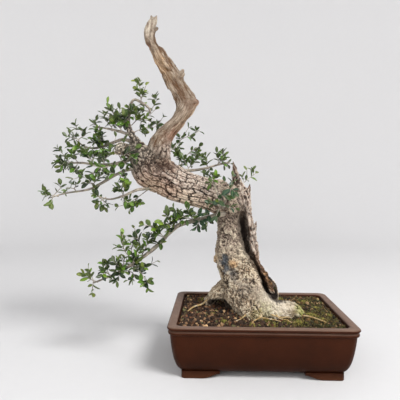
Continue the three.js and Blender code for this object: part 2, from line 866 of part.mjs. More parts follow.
// A spray and its keep-out shape, a little larger all round. Leaves that would touch what is
// already there are left off.
function spray([leafLength, root, ...twigs], obstacles, seed) {
  const random = numbers(seed);
  const fork = forkPoint(root, twigs);
  const stalk = [root, fork].map((point) => [...point, TWIG.stalkRadius]);
  const parts = [limb(stalk, { sides: SIDES.stalk })];
  const grownParts = [limb(stalk, { sides: SIDES.stalk, grow: TWIG.clearance })];
  const leaves = [];
  const passed = new Set();
  for (const [pairs, ...points] of twigs) {
    const leavesEarlierTwig = passed.has(String(points[0]));
    points.forEach((point) => passed.add(String(point)));
    const route = leavesEarlierTwig ? points : [fork, ...points];
    const rings = route.map((point, i) => {
      const share = (i + points.length + 1 - route.length) / points.length;
      return [...point, THREE.MathUtils.lerp(TWIG.baseRadius, TWIG.tipRadius, share)];
    });
    parts.push(limb(rings, { sides: SIDES.twig }));
    grownParts.push(limb(rings, { sides: SIDES.twig, grow: TWIG.clearance }));
    const path = new THREE.CatmullRomCurve3(rings.map(([x, y, z]) => new THREE.Vector3(x, y, z)));
    leaves.push(...twigLeaves(path, pairs, leafLength, random));
  }
  for (const { base, direction, across, length } of leaves) {
    const blade = leafBlade(base, direction, across, length, 0);
    if (touches(blade, obstacles)) continue;
    parts.push(blade);
    grownParts.push(leafBlade(base, direction, across, length, GAP));
  }
  const whole = joined(parts);
  const inTheWay = obstacles.filter((obstacle) => touches(whole, [obstacle]));
  return { solid: oneBody(cut(whole, inTheWay)), grown: joined(grownParts) };
}

// Whether no two corners of a solid share one spot, to a ten-thousandth of a millimetre.
function cornersApart(solid) {
  const { vertProperties, numVert } = solid.getMesh();
  const spots = new Set();
  for (let i = 0; i < numVert; i++) {
    const corner = Array.from(vertProperties.subarray(3 * i, 3 * i + 3));
    spots.add(corner.map((value) => value.toFixed(4)).join());
  }
  return spots.size === numVert;
}

// Draws a spray's leaves anew until its joins are clean.
function cleanSpray(spec, obstacles, firstSeed) {
  for (let attempt = 0; attempt < SEED_ATTEMPTS; attempt++) {
    const made = spray(spec, obstacles, firstSeed + attempt * SEED_STEP);
    if (cornersApart(made.solid)) return made;
  }
  throw new Error("no clean spray at " + spec[1]);
}

// ---- The object ----

const model = new THREE.Group();

function addPiece(name, solid, finish) {
  const mesh = new THREE.Mesh(geometryOf(solid), new THREE.MeshStandardMaterial(finish));
  mesh.name = name;
  model.add(mesh);
}

const grownTrunk = trunk(GAP);
addPiece("pot", pot(), FINISH.pot);
const meshPlaces = { drainage_mesh_left: -DRAIN.offset, drainage_mesh_right: DRAIN.offset };
for (const [name, x] of Object.entries(meshPlaces)) addPiece(name, drainageMesh(x), FINISH.mesh);
const soilCutters = [grownTrunk, ...Object.values(meshPlaces).map((x) => drainageMesh(x, GAP))];
addPiece("soil", soil(soilCutters), FINISH.soil);
addPiece("trunk", trunk(0), FINISH.bark);

const obstacles = [grownTrunk];
for (const [name, rings] of Object.entries(BRANCHES)) {
  const solid = oneBody(cut(branch(rings, 0), obstacles));
  addPiece(name, solid, FINISH.branch);
  obstacles.push(branch(rings, GAP));
}
Object.entries(SPRAYS).forEach(([name, spec], index) => {
  const { solid, grown } = cleanSpray(spec, obstacles, FIRST_SEED + index);
  addPiece(name + "_spray", solid, FINISH.leaf);
  obstacles.push(grown);
});

const bounds = new THREE.Box3().setFromObject(model);
const middle = bounds.getCenter(new THREE.Vector3());
model.position.set(-middle.x, -middle.y, -bounds.min.z);

const bonsai = new THREE.Group();
bonsai.add(model);

export default bonsai;
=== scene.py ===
"""The looks of an olive bonsai in a clay pot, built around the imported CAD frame.

Lengths are millimetres, and points are measured from the middle of the pot's underside: +X to the
right, +Y to the back, +Z up. place() turns them into the frame's metres.
"""

import math
import random

import bmesh
import bpy
import numpy as np
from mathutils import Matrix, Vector, noise
from mathutils.bvhtree import BVHTree


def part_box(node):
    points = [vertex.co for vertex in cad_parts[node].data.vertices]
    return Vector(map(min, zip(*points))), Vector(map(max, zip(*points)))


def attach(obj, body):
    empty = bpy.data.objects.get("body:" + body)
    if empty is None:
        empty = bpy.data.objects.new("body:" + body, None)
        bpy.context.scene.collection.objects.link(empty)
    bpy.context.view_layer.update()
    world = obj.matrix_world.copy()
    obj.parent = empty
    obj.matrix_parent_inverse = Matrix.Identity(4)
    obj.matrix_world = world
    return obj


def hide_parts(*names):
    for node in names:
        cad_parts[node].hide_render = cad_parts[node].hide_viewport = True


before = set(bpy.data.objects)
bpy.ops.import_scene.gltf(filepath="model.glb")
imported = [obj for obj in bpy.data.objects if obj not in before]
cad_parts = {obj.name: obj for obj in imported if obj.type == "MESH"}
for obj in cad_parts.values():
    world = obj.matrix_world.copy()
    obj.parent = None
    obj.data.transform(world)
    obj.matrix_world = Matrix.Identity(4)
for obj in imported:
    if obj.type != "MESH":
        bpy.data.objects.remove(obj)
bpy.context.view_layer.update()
noise.seed_set(5)  # noise vectors follow this seed, and without it they follow the clock

MM = 0.001
SCENE = bpy.context.scene
pot_low, pot_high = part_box("pot")
POT_MIDDLE = np.array([(pot_low.x + pot_high.x) / 2, (pot_low.y + pot_high.y) / 2, pot_low.z])
BATCH = 20000  # how many points are compared with a limb at a time


def place(points):
    """Points in the frame's metres, from this script's millimetres."""
    return np.asarray(points, float) * MM + POT_MIDDLE


def points_of(mesh):
    """A mesh's points in this script's millimetres."""
    points = np.empty(len(mesh.vertices) * 3, np.float32)
    mesh.vertices.foreach_get("co", points)
    return (points.reshape(-1, 3) - POT_MIDDLE) / MM


# ---- Camera ----

CAMERA_POINT = (-79, -739, 299)
CAMERA_YAW = 1.7  # degrees to the left of +Y
CAMERA_PITCH = -1.9
CAMERA_ROLL = 0.26
CAMERA_LENS = 37.8  # on a sensor 36 mm wide


def add_camera():
    data = bpy.data.cameras.new("camera")
    data.sensor_width = 36
    data.lens = CAMERA_LENS
    data.clip_start = 0.05
    data.clip_end = 50
    camera = bpy.data.objects.new("camera", data)
    camera.location = place(CAMERA_POINT)
    tilt = [90 + CAMERA_PITCH, -CAMERA_ROLL, CAMERA_YAW]
    camera.rotation_euler = [math.radians(angle) for angle in tilt]
    SCENE.collection.objects.link(camera)
    SCENE.camera = camera


# ---- Colours and patterns ----


def linear(red, green, blue):
    """A screen colour, 0 to 255, as the linear values that a shader takes."""
    parts = np.array([red, green, blue]) / 255
    return np.where(parts <= 0.04045, parts / 12.92, ((parts + 0.055) / 1.055) ** 2.4)


def opaque(red, green, blue):
    """A screen colour as a shader socket's four values."""
    return (*linear(red, green, blue), 1)


def mixed(a, b, share):
    """a where share is 0 and b where it is 1; share holds one number for each point."""
    share = np.clip(share, 0, 1)[:, None]
    return a * (1 - share) + b * share


def ramp(values, low, high):
    """0 at low, 1 at high and a smooth rise between them."""
    share = np.clip((np.asarray(values, float) - low) / (high - low), 0, 1)
    return share * share * (3 - 2 * share)


def waves(points, size, octaves=1):
    """Smooth noise from about -1 to 1 whose swells are size across; size may have three parts."""
    scaled = (np.asarray(points) / size).tolist()
    if octaves == 1:
        return np.array([noise.noise(point) for point in scaled])
    return np.array([noise.fractal(point, 0.8, 2.1, octaves) for point in scaled])


def warped(points, size, reach):
    """The points, each moved by up to about reach, so that patterns on them bend."""
    scaled = (np.asarray(points) / size).tolist()
    return points + reach * np.array([noise.noise_vector(point) for point in scaled])


def cells(points, size):
    """Flakes of about that size: how far a point is from its flake's edge, and the flake's number."""
    found = [noise.voronoi(point) for point in (np.asarray(points) / size).tolist()]
    edge = np.array([distances[1] - distances[0] for distances, _ in found])
    number = np.array([noise.cell(centres[0]) for _, centres in found])
    return edge, (number + 1) / 2


# ---- Meshes ----


def add_mesh(name, points, faces, material=None, colour=None, grain=None, smooth=True):
    """A mesh object from points in millimetres. colour and grain become attributes for its shader."""
    mesh = bpy.data.meshes.new(name)
    mesh.from_pydata(place(points).tolist(), [], faces)
    if colour is not None:
        rgba = np.column_stack([colour, np.ones(len(colour))]).astype(np.float32)
        mesh.attributes.new("paint", "FLOAT_COLOR", "POINT").data.foreach_set("color", rgba.ravel())
    if grain is not None:
        values = np.asarray(grain, np.float32).ravel()
        mesh.attributes.new("grain", "FLOAT_VECTOR", "POINT").data.foreach_set("vector", values)
    mesh.polygons.foreach_set("use_smooth", [smooth] * len(mesh.polygons))
    if material:
        mesh.materials.append(material)
    mesh.update()
    piece = bpy.data.objects.new(name, mesh)
    SCENE.collection.objects.link(piece)
    return piece


def finished(piece, slot, *nodes):
    """Hangs a piece on the one body; where it stands for CAD nodes, hides them."""
    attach(piece, "root")
    if nodes:
        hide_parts(*nodes)


def applied(piece):
    """Gives a piece the mesh that its modifiers make, and drops the modifiers."""
    graph = bpy.context.evaluated_depsgraph_get()
    shown = piece.evaluated_get(graph)
    mesh = bpy.data.meshes.new_from_object(shown, preserve_all_data_layers=True, depsgraph=graph)
    piece.modifiers.clear()
    piece.data = mesh


def joined(shapes):
    """One (points, faces) from several."""
    points, faces, start = [], [], 0
    for more_points, more_faces in shapes:
        points.append(np.asarray(more_points))
        faces += [[start + index for index in face] for face in more_faces]
        start += len(more_points)
    return np.vstack(points), faces


def ring_faces(count, size, closed_ends=True):
    """Faces between rings of equally many points, outwards for rings that go up."""
    faces = []
    for low in range(count - 1):
        for side in range(size):
            after = (side + 1) % size
            a, b = low * size, (low + 1) * size
            faces.append([a + side, a + after, b + after, b + side])
    if closed_ends:
        faces.append(list(range(size))[::-1])
        last = (count - 1) * size
        faces.append([last + side for side in range(size)])
    return faces


def through(points, per_stretch):
    """Points on a smooth curve through the given ones, per_stretch for each stretch between two."""
    control = np.array(points, float)
    control = np.vstack([2 * control[0] - control[1], control, 2 * control[-1] - control[-2]])
    t = np.arange(per_stretch)[:, None] / per_stretch
    stretches = []
    for a, b, c, d in zip(control, control[1:], control[2:], control[3:]):
        bend = (2 * a - 5 * b + 4 * c - d) * t**2 + (3 * b - a - 3 * c + d) * t**3
        stretches.append(0.5 * (2 * b + (c - a) * t + bend))
    return np.vstack([*stretches, control[-2:-1]])


def unit(vectors):
    return vectors / np.maximum(np.linalg.norm(vectors, axis=-1, keepdims=True), 1e-9)


LIMB_STEPS, BRANCH_STEPS, SPUR_STEPS = 6, 8, 4  # rings for each stretch between two given ones
LIMB_SIDES, CUTTER_SIDES, BRANCH_SIDES, ROOT_SIDES, TWIG_SIDES, SPUR_SIDES = 40, 32, 14, 10, 8, 6


class Course:
    """A limb as rings along a smooth curve: centres, their directions, radii and the way along it."""

    def __init__(self, rings, per_stretch):
        full = [ring if len(ring) == 5 else (*ring, ring[3]) for ring in rings]
        samples = through(full, per_stretch)
        self.centre = samples[:, :3]
        self.width = np.maximum(samples[:, 3], 0.3)
        self.depth = np.maximum(samples[:, 4], 0.3)
        self.run = unit(np.gradient(self.centre, axis=0))
        back = np.array([0.0, 1.0, 0.0])
        up = np.array([0.0, 0.0, 1.0])
        reference = np.where(np.abs(self.run[:, 1:2]) > 0.95, up, back)
        lean = np.sum(reference * self.run, axis=1, keepdims=True)
        self.deep = unit(reference - lean * self.run)
        self.wide = np.cross(self.deep, self.run)
        steps = np.linalg.norm(np.diff(self.centre, axis=0), axis=1)
        self.along = np.concatenate([[0], np.cumsum(steps)])
        self.share = np.linspace(0, 1, len(samples))

    def tube(self, sides, lobes=0.0, lobe_count=5):
        """A closed tube round the course, with shallow lobes that wind round it."""
        angle = np.linspace(0, 2 * math.pi, sides, endpoint=False)
        factor = 1 + lobes * np.sin(lobe_count * angle[None] + 4 * self.share[:, None])
        x = np.cos(angle)[None] * self.width[:, None] * factor
        y = np.sin(angle)[None] * self.depth[:, None] * factor
        points = self.centre[:, None] + x[..., None] * self.wide[:, None] + y[..., None] * self.deep[:, None]
        grain = np.dstack([x, y, np.repeat(self.along[:, None], sides, axis=1)])
        return points.reshape(-1, 3), ring_faces(len(self.centre), sides), grain.reshape(-1, 3)


# ---- Materials ----


class Shader:
    """Builds a node material in short steps."""

    def __init__(self, name, **sockets):
        self.material = bpy.data.materials.new(name)
        self.material.use_nodes = True
        self.tree = self.material.node_tree
        self.surface = self.tree.nodes["Principled BSDF"]
        for socket, value in sockets.items():
            self.surface.inputs[socket.replace("_", " ")].default_value = value

    def node(self, kind, inputs=(), **settings):
        made = self.tree.nodes.new(kind)
        for setting, value in settings.items():
            setattr(made, setting, value)
        for socket, value in dict(inputs).items():
            self.put(made.inputs[socket], value)
        return made

    def put(self, socket, value):
        if isinstance(value, bpy.types.NodeSocket):
            self.tree.links.new(value, socket)
        else:
            socket.default_value = value

    def attribute(self, name, output):
        return self.node("ShaderNodeAttribute", attribute_name=name).outputs[output]

    def position(self):
        return self.node("ShaderNodeTexCoord").outputs["Object"]

    def noise(self, vector, scale, detail=2.0, roughness=0.5):
        inputs = {"Vector": vector, "Scale": scale, "Detail": detail, "Roughness": roughness}
        return self.node("ShaderNodeTexNoise", inputs).outputs["Fac"]

    def stretched(self, vector, scale):
        inputs = {0: vector, 1: scale}
        return self.node("ShaderNodeVectorMath", inputs, operation="MULTIPLY").outputs[0]

    def ranged(self, value, low, high, to_low, to_high):
        inputs = {"Value": value, "From Min": low, "From Max": high, "To Min": to_low, "To Max": to_high}
        return self.node("ShaderNodeMapRange", inputs).outputs["Result"]

    def scaled_colour(self, colour, factor):
        """The colour with its brightness multiplied by a factor that varies over the surface."""
        inputs = {"Color": colour, "Value": factor}
        return self.node("ShaderNodeHueSaturation", inputs).outputs["Color"]

    def blended(self, first, second, share):
        inputs = {0: share, 6: first, 7: second}  # the colour mix's own sockets
        return self.node("ShaderNodeMix", inputs, data_type="RGBA").outputs[2]

    def bump(self, height, distance):
        inputs = {"Height": height, "Distance": distance, "Strength": 1.0}
        return self.node("ShaderNodeBump", inputs).outputs["Normal"]

    def paint(self):
        return self.attribute("paint", "Color")

    def finish(self, colour, normal=None, roughness=None):
        self.put(self.surface.inputs["Base Color"], colour)
        if normal is not None:
            self.put(self.surface.inputs["Normal"], normal)
        if roughness is not None:
            self.put(self.surface.inputs["Roughness"], roughness)
        return self.material

    def finish_fine(self, fine, colour, tones, distance, roughness):
        """A material whose brightness, relief and roughness all follow one fine noise."""
        shaded = self.scaled_colour(colour, self.ranged(fine, 0.3, 0.7, *tones))
        rough = self.ranged(fine, 0.3, 0.7, *roughness)
        return self.finish(shaded, self.bump(fine, distance), rough)


def wood_material():
    """Bark and bare wood: the painted colour, broken up by specks and fibres along the grain."""
    shader = Shader("weathered_wood", Specular_IOR_Level=0.25)
    grain = shader.attribute("grain", "Vector")
    specks = shader.noise(grain, 0.55, detail=4, roughness=0.7)
    fibres = shader.noise(shader.stretched(grain, (1.1, 1.1, 0.12)), 0.8, detail=3, roughness=0.6)
    tone = shader.node("ShaderNodeMath", {0: specks, 1: fibres}, operation="ADD").outputs[0]
    factor = shader.ranged(tone, 0.72, 1.28, 0.62, 1.34)
    colour = shader.scaled_colour(shader.paint(), factor)
    roughness = shader.ranged(specks, 0.3, 0.7, 0.95, 0.78)
    return shader.finish(colour, shader.bump(tone, 0.0011), roughness)


def twig_material():
    shader = Shader("twig_bark", Specular_IOR_Level=0.3)
    grain = shader.attribute("grain", "Vector")
    rings = shader.noise(shader.stretched(grain, (0.8, 0.8, 0.5)), 1.1, detail=3)
    return shader.finish_fine(rings, shader.paint(), (0.72, 1.25), 0.0003, (0.85, 0.65))


def leaf_material():
    shader = Shader("olive_leaf", Specular_IOR_Level=0.42, Coat_Weight=0.1, Coat_Roughness=0.24)
    veins = shader.noise(shader.position(), 420, detail=2)
    return shader.finish_fine(veins, shader.paint(), (0.86, 1.14), 0.0002, (0.38, 0.26))


def painted_material(name, scale, roughness):
    """Grains and moss: the painted colour with fine noise over it."""
    shader = Shader(name, Specular_IOR_Level=0.3)
    fine = shader.noise(shader.position(), scale, detail=3, roughness=0.6)
    return shader.finish_fine(fine, shader.paint(), (0.72, 1.26), 0.0003, roughness)


def clay_material():
    """Unglazed brown clay: fine specks, pale dust on the rim's top and a painted highlight along its
    bead, painted shade towards the wall's foot, and paler bare clay on the feet.
    """
    shader = Shader("brown_clay", Specular_IOR_Level=0.06)
    position = shader.position()
    clouds = shader.noise(position, 16, detail=3, roughness=0.6)
    specks = shader.noise(position, 900, detail=2)
    level = shader.node("ShaderNodeSeparateXYZ", {"Vector": position}).outputs["Z"]
    body = shader.blended(opaque(60, 29, 15), opaque(50, 24, 12), shader.ranged(clouds, 0.35, 0.65, 0, 1))
    # Painted shade: the wall is made darker towards its foot.
    shaded_towards_foot = shader.scaled_colour(body, shader.ranged(level, 0.015, 0.06, 0.72, 1))
    with_dust_and_highlight = shader.blended(shaded_towards_foot, opaque(128, 104, 90), shader.attribute("dust_and_highlight", "Fac"))
    bare = shader.blended(with_dust_and_highlight, opaque(80, 48, 31), shader.attribute("bare", "Fac"))
    colour = shader.scaled_colour(bare, shader.ranged(specks, 0.3, 0.7, 0.88, 1.12))
    return shader.finish(colour, shader.bump(specks, 0.00025), shader.ranged(clouds, 0.3, 0.7, 0.39, 0.43))


def mesh_material():
    shader = Shader("mesh_plastic")
    fine = shader.noise(shader.position(), 700, detail=2)
    return shader.finish_fine(fine, opaque(46, 50, 44), (0.8, 1.2), 0.0001, (0.7, 0.5))


def studio_material():
    shader = Shader("studio_paper", Specular_IOR_Level=0.1)
    fine = shader.noise(shader.position(), 60, detail=2)
    colour = shader.scaled_colour(opaque(220, 219, 219), shader.ranged(fine, 0.3, 0.7, 0.995, 1.005))
    return shader.finish(colour, roughness=shader.ranged(fine, 0.3, 0.7, 0.92, 0.96))


WOOD = wood_material()
TWIG = twig_material()
LEAF = leaf_material()
CLAY = clay_material()
GRAIN = painted_material("soil_grains", 500, (0.95, 0.8))
MOSS = painted_material("moss", 900, (0.9, 0.7))
PLASTIC = mesh_material()
STUDIO = studio_material()


# ---- The wood: rings (x, y, z, half width, half depth), the same as the CAD's ----

TRUNK_AND_LIMB = [
    (-4, -10, 70, 40, 40), (-8, -10, 92, 42, 40), (-15, -8, 110, 45, 40), (-20, -5, 127, 43, 38),
    (-25, -3, 140, 38, 36), (-30.5, -1, 154, 36.5, 35), (-35, 0, 169, 37, 35), (-36, 0, 187, 37, 34),
    (-37, 0, 205, 34.5, 32), (-38, 0, 222, 32.5, 30), (-40, 0, 240, 31, 29),
    (-48, -2, 262, 31, 28), (-67, -4, 278, 29, 27), (-92, -6, 286, 27.5, 27),
    (-118, -8, 293, 27.5, 28), (-143, -8, 303, 29.5, 30), (-166, -6, 315, 31, 31),
    (-188, -4, 328, 32.5, 29), (-197, -3, 340, 28, 25.5), (-203, -2, 351, 21.5, 21),
    (-211, 0, 366, 14, 14),
    (-219, 2, 382, 7.5, 8.5), (-226, 4, 398, 4.8, 5.4), (-229, 4, 408, 4.2, 4.2),
]
DEADWOOD_STEM = [
    (-180, 0, 326, 27, 25), (-176, 2, 350, 23, 22), (-172, 3, 374, 19.5, 19), (-163, 4, 389, 15.5, 16),
    (-153, 5, 400, 12.8, 15), (-143, 6, 411, 11.8, 14), (-136, 6, 422, 12.2, 13), (-130, 6, 433, 15.5, 12.5),
    (-127, 6, 446, 18.5, 12), (-133, 5, 459, 17, 12), (-141, 4, 472, 15, 12), (-148, 2, 485, 15, 12),
    (-155, 0, 498, 14.2, 11.5), (-163, -2, 510, 13.6, 11), (-171, -3, 522, 11.6, 10), (-178, -3, 535, 9.6, 9),
    (-186, -2, 548, 9.4, 8.5), (-189, -1, 560, 9.6, 8), (-188, 0, 571, 9, 7),
    (-185.5, 1, 580, 6.2, 5.5), (-184, 2, 587, 4.6, 4.4), (-183, 2, 593, 3.6, 3.6),
]
LIMB_PARTS = {
    "shoulder": [
        (-36, 0, 225, 24, 24), (-36, 0, 250, 26, 24), (-34, 1, 272, 23, 20),
        (-33, 2, 290, 15, 13), (-36, 2, 306, 9, 9), (-39, 2, 322, 6, 6), (-42, 2, 336, 3, 3),
        (-43.5, 2, 343, 1, 1),
    ],
    "small_spike": [
        (-18, 0, 266, 7, 9), (-16, 1, 288, 4.5, 6), (-14, 2, 298, 2.6, 3.5),
        (-13.5, 2, 304, 0.9, 1),
    ],
    "stub": [
        (-214, -4, 357, 12, 12), (-232, -8, 362, 11, 11), (-244, -11, 364, 10.5, 10.5),
        (-247, -12, 365, 9, 9),
    ],
    "stem_nub": [
        (-140, 1, 488, 10, 8), (-134, 1, 496, 5, 5), (-131, 1, 503, 2, 2),
    ],
    "stem_knee": [
        (-128, 5, 446, 16, 11), (-110, 5, 446, 8, 7), (-104, 5, 448, 3, 3),
    ],
    "edge_nub": [
        (-20, 0, 226, 14, 12), (-5, 0, 227, 6, 6), (-1, 0, 227, 2, 2),
    ],
    "left_bulge": [
        (-52, -4, 172, 20, 18), (-70, -5, 172, 9, 10), (-76, -5, 173, 3, 3),
    ],
    "burl": [
        (-38, -20, 170, 17, 14), (-44, -34, 171, 9, 8), (-45, -39, 171, 4, 4),
    ],
}
ROOTS = {
    "right": [
        (-2, -18, 114, 30, 26), (20, -32, 98, 20, 22), (38, -38, 90, 18, 18), (54, -38, 88, 18, 16),
        (66, -36, 84, 12, 13), (75, -34, 77, 6, 7),
    ],
    "front": [
        (-18, -18, 112, 34, 24), (-14, -38, 98, 24, 18), (-10, -52, 86, 18, 13), (-6, -64, 76, 9, 8),
    ],
    "front_right": [
        (-4, -24, 112, 28, 22), (10, -40, 96, 20, 16), (20, -50, 84, 16, 11), (26, -57, 74, 8, 7),
    ],
    "front_left": [
        (-30, -14, 112, 26, 22), (-27, -30, 96, 14, 13), (-26, -42, 82, 9, 9),
    ],
    "left_arch": [
        (-38, 0, 122, 24, 24), (-56, 0, 117, 17, 22), (-70, 2, 109.5, 11, 20), (-79, 8, 101, 8.5, 17),
        (-84, 16, 91, 7, 13), (-86, 22, 78, 6, 10),
    ],
    "back_left": [
        (-38, 18, 112, 26, 22), (-52, 42, 98, 15, 14), (-62, 62, 82, 8, 8),
    ],
    "back": [
        (-18, 20, 112, 32, 22), (-6, 48, 98, 18, 15), (4, 70, 82, 9, 8),
    ],
    "back_right": [
        (0, 8, 124, 26, 22), (20, 18, 112, 19.5, 18), (31, 32, 95, 12, 13), (37, 42, 80, 7, 7),
    ],
}
# Cut out of the wood. Between heights 155 and 192 this split is up to 3 mm left of the CAD's.
SPLIT = [
    (-27, -34, 256, 3.5, 24), (-28, -34, 246, 8, 30), (-26, -34, 233, 8.8, 34),
    (-24, -34, 219, 8.2, 34), (-22, -35, 206, 7.4, 34), (-19, -36, 192, 6.8, 34),
    (-12, -36, 179, 6, 34), (-5.5, -35, 168, 4.8, 33), (1, -32, 155, 3.8, 31),
    (6.5, -29, 143, 3.6, 30), (11, -24, 131, 4, 26), (16.5, -20, 120.5, 5.5, 20),
    (26, -12, 109, 9, 16), (37, -1, 103, 9.5, 15), (46, 8, 98, 6, 10),
]
ROOT_HOLLOW = [
    (-89, -18, 92, 4, 7), (-82, -19, 92, 8, 14), (-72, -20, 92, 9.5, 17), (-60, -21, 92, 9.5, 17),
    (-48, -23, 91, 8, 14), (-38, -25, 89, 4, 8),
]
# A pocket under the strip's foot, too small for the CAD's solid.
FOOT_POCKET = [
    (20, -34, 116.5, 2.5, 22), (26, -34, 113.5, 5.5, 25), (33, -33, 112, 6.8, 25),
    (40, -32, 112.5, 6, 24), (48, -30, 114, 3.5, 20),
]
# Small features of the dead wood, too fine for the CAD's solid.
WOOD_DETAILS = {
    "peeling_sliver": [
        (-166, 2, 494, 4, 3), (-162, 0, 483, 3.2, 2.6), (-158.5, -2, 472, 2, 1.6), (-157, -2, 466, 0.7, 0.7),
    ],
    "stem_shell": [
        (-187, -1, 588, 3, 3), (-191, -3, 577, 5, 5), (-193.5, -4, 562, 6, 7), (-192, -5, 549, 5.5, 6),
        (-193.5, -5, 543, 2, 2.4),
    ],
    "tip_left": [
        (-184, 2, 582, 5, 4.4), (-187, 2, 591, 2.9, 3), (-187.6, 2, 597, 1.3, 1.5),
    ],
    "tip_right": [
        (-183, 2, 582, 5, 4.4), (-179.6, 2, 591, 2.9, 3), (-178, 2, 596.5, 1.1, 1.3),
    ],
    "stem_knot": [
        (-184, 0, 572, 6, 5), (-177, -1, 573, 2.8, 2.8), (-174.5, -1, 574.5, 1, 1),
    ],
    "stem_bump": [
        (-172, 0, 538, 5, 5), (-166, -1, 531, 4.6, 5), (-161.5, -1, 522, 4, 4), (-160, 0, 512, 2, 2),
    ],
    "nub_inner": [
        (-152, 0, 497, 8, 8), (-147, -2, 506, 3.8, 4), (-145, -2, 511, 1.5, 1.5),
    ],
    "nub_outer": [
        (-142, 1, 488, 8, 7), (-133, -1, 492, 4.5, 5), (-129, -1, 496, 2, 2),
    ],
    "spike_rib": [
        (-30, -14, 246, 5, 6), (-27, -14, 268, 4.4, 6), (-30, -8, 292, 3, 4), (-34, -4, 312, 2, 2.4),
    ],
    "strip_prong": [
        (-10, -8, 216, 6, 7), (-6, -8, 223, 4.4, 5), (-4, -8, 230, 2.8, 3.4), (-3, -8, 236, 1.6, 2),
        (-2.6, -8, 240, 0.6, 0.8),
    ],
    "strip_tooth": [
        (-10, -12, 198, 7, 6), (-3, -14, 200, 3.4, 3.4), (-0.5, -14, 204, 1, 1),
    ],
}
# Hollows in the bark: (x, y, z, radius, depth).
DENTS = [
    (-61, -28, 177, 8, 4), (-62, -28, 167, 9, 5), (-58, -31, 158, 8, 4), (-50, -36, 153, 7, 3),
    (-150, -30, 322, 14, 3), (-166, -26, 338, 10, 3), (-20, -40, 118, 9, 2.5), (-30, 34, 190, 14, 4),
    (-70, 24, 285, 12, 3), (-4, 30, 140, 12, 4), (-140, 24, 306, 12, 3), (-190, -6, 541, 5, 3),
    (34, -52, 92, 8, 2), (-172, -24, 356, 9, 2.5), (-158, -18, 362, 8, 2), (-36, -30, 206, 10, 2),
    (55, -52, 90, 6, 2.5),
]

VOXEL = 1.25  # the size of the trunk's facets before they are thinned out
TRUNK_TRIANGLES = 194000
SOIL_CUT = 74  # the wood ends at this height, under the soil

BARK = {
    "light": linear(196, 183, 160),
    "bleached": linear(210, 196, 171),
    "pale": linear(212, 202, 186),
    "tan": linear(152, 128, 102),
    "root_tan": linear(180, 150, 98),
    "plate": linear(184, 169, 151),
    "plate_warm": linear(149, 130, 116),
    "plate_pale": linear(208, 194, 179),
    "grey": linear(136, 128, 118),
    "brown": linear(94, 74, 58),
    # the darkest, for cracks and crevices: partly the bark's own colour there, partly painted shade
    "crack": linear(36, 29, 25),
    "crevice": linear(50, 39, 31),
    "fibre": linear(128, 101, 83),
    "red_brown": linear(116, 80, 63),
    "silver": linear(176, 163, 146),
    "silver_dark": linear(134, 117, 100),
    "groove": linear(94, 66, 44),
    "orange": linear(178, 136, 88),
    "slate": linear(96, 102, 108),
    "shade": linear(58, 47, 40),
    "moss": linear(126, 128, 50),
    "moss_dark": linear(84, 90, 62),
    # painted shade, for the depths of the split and of the holes under the wood
    "hollow": linear(42, 33, 28),
}
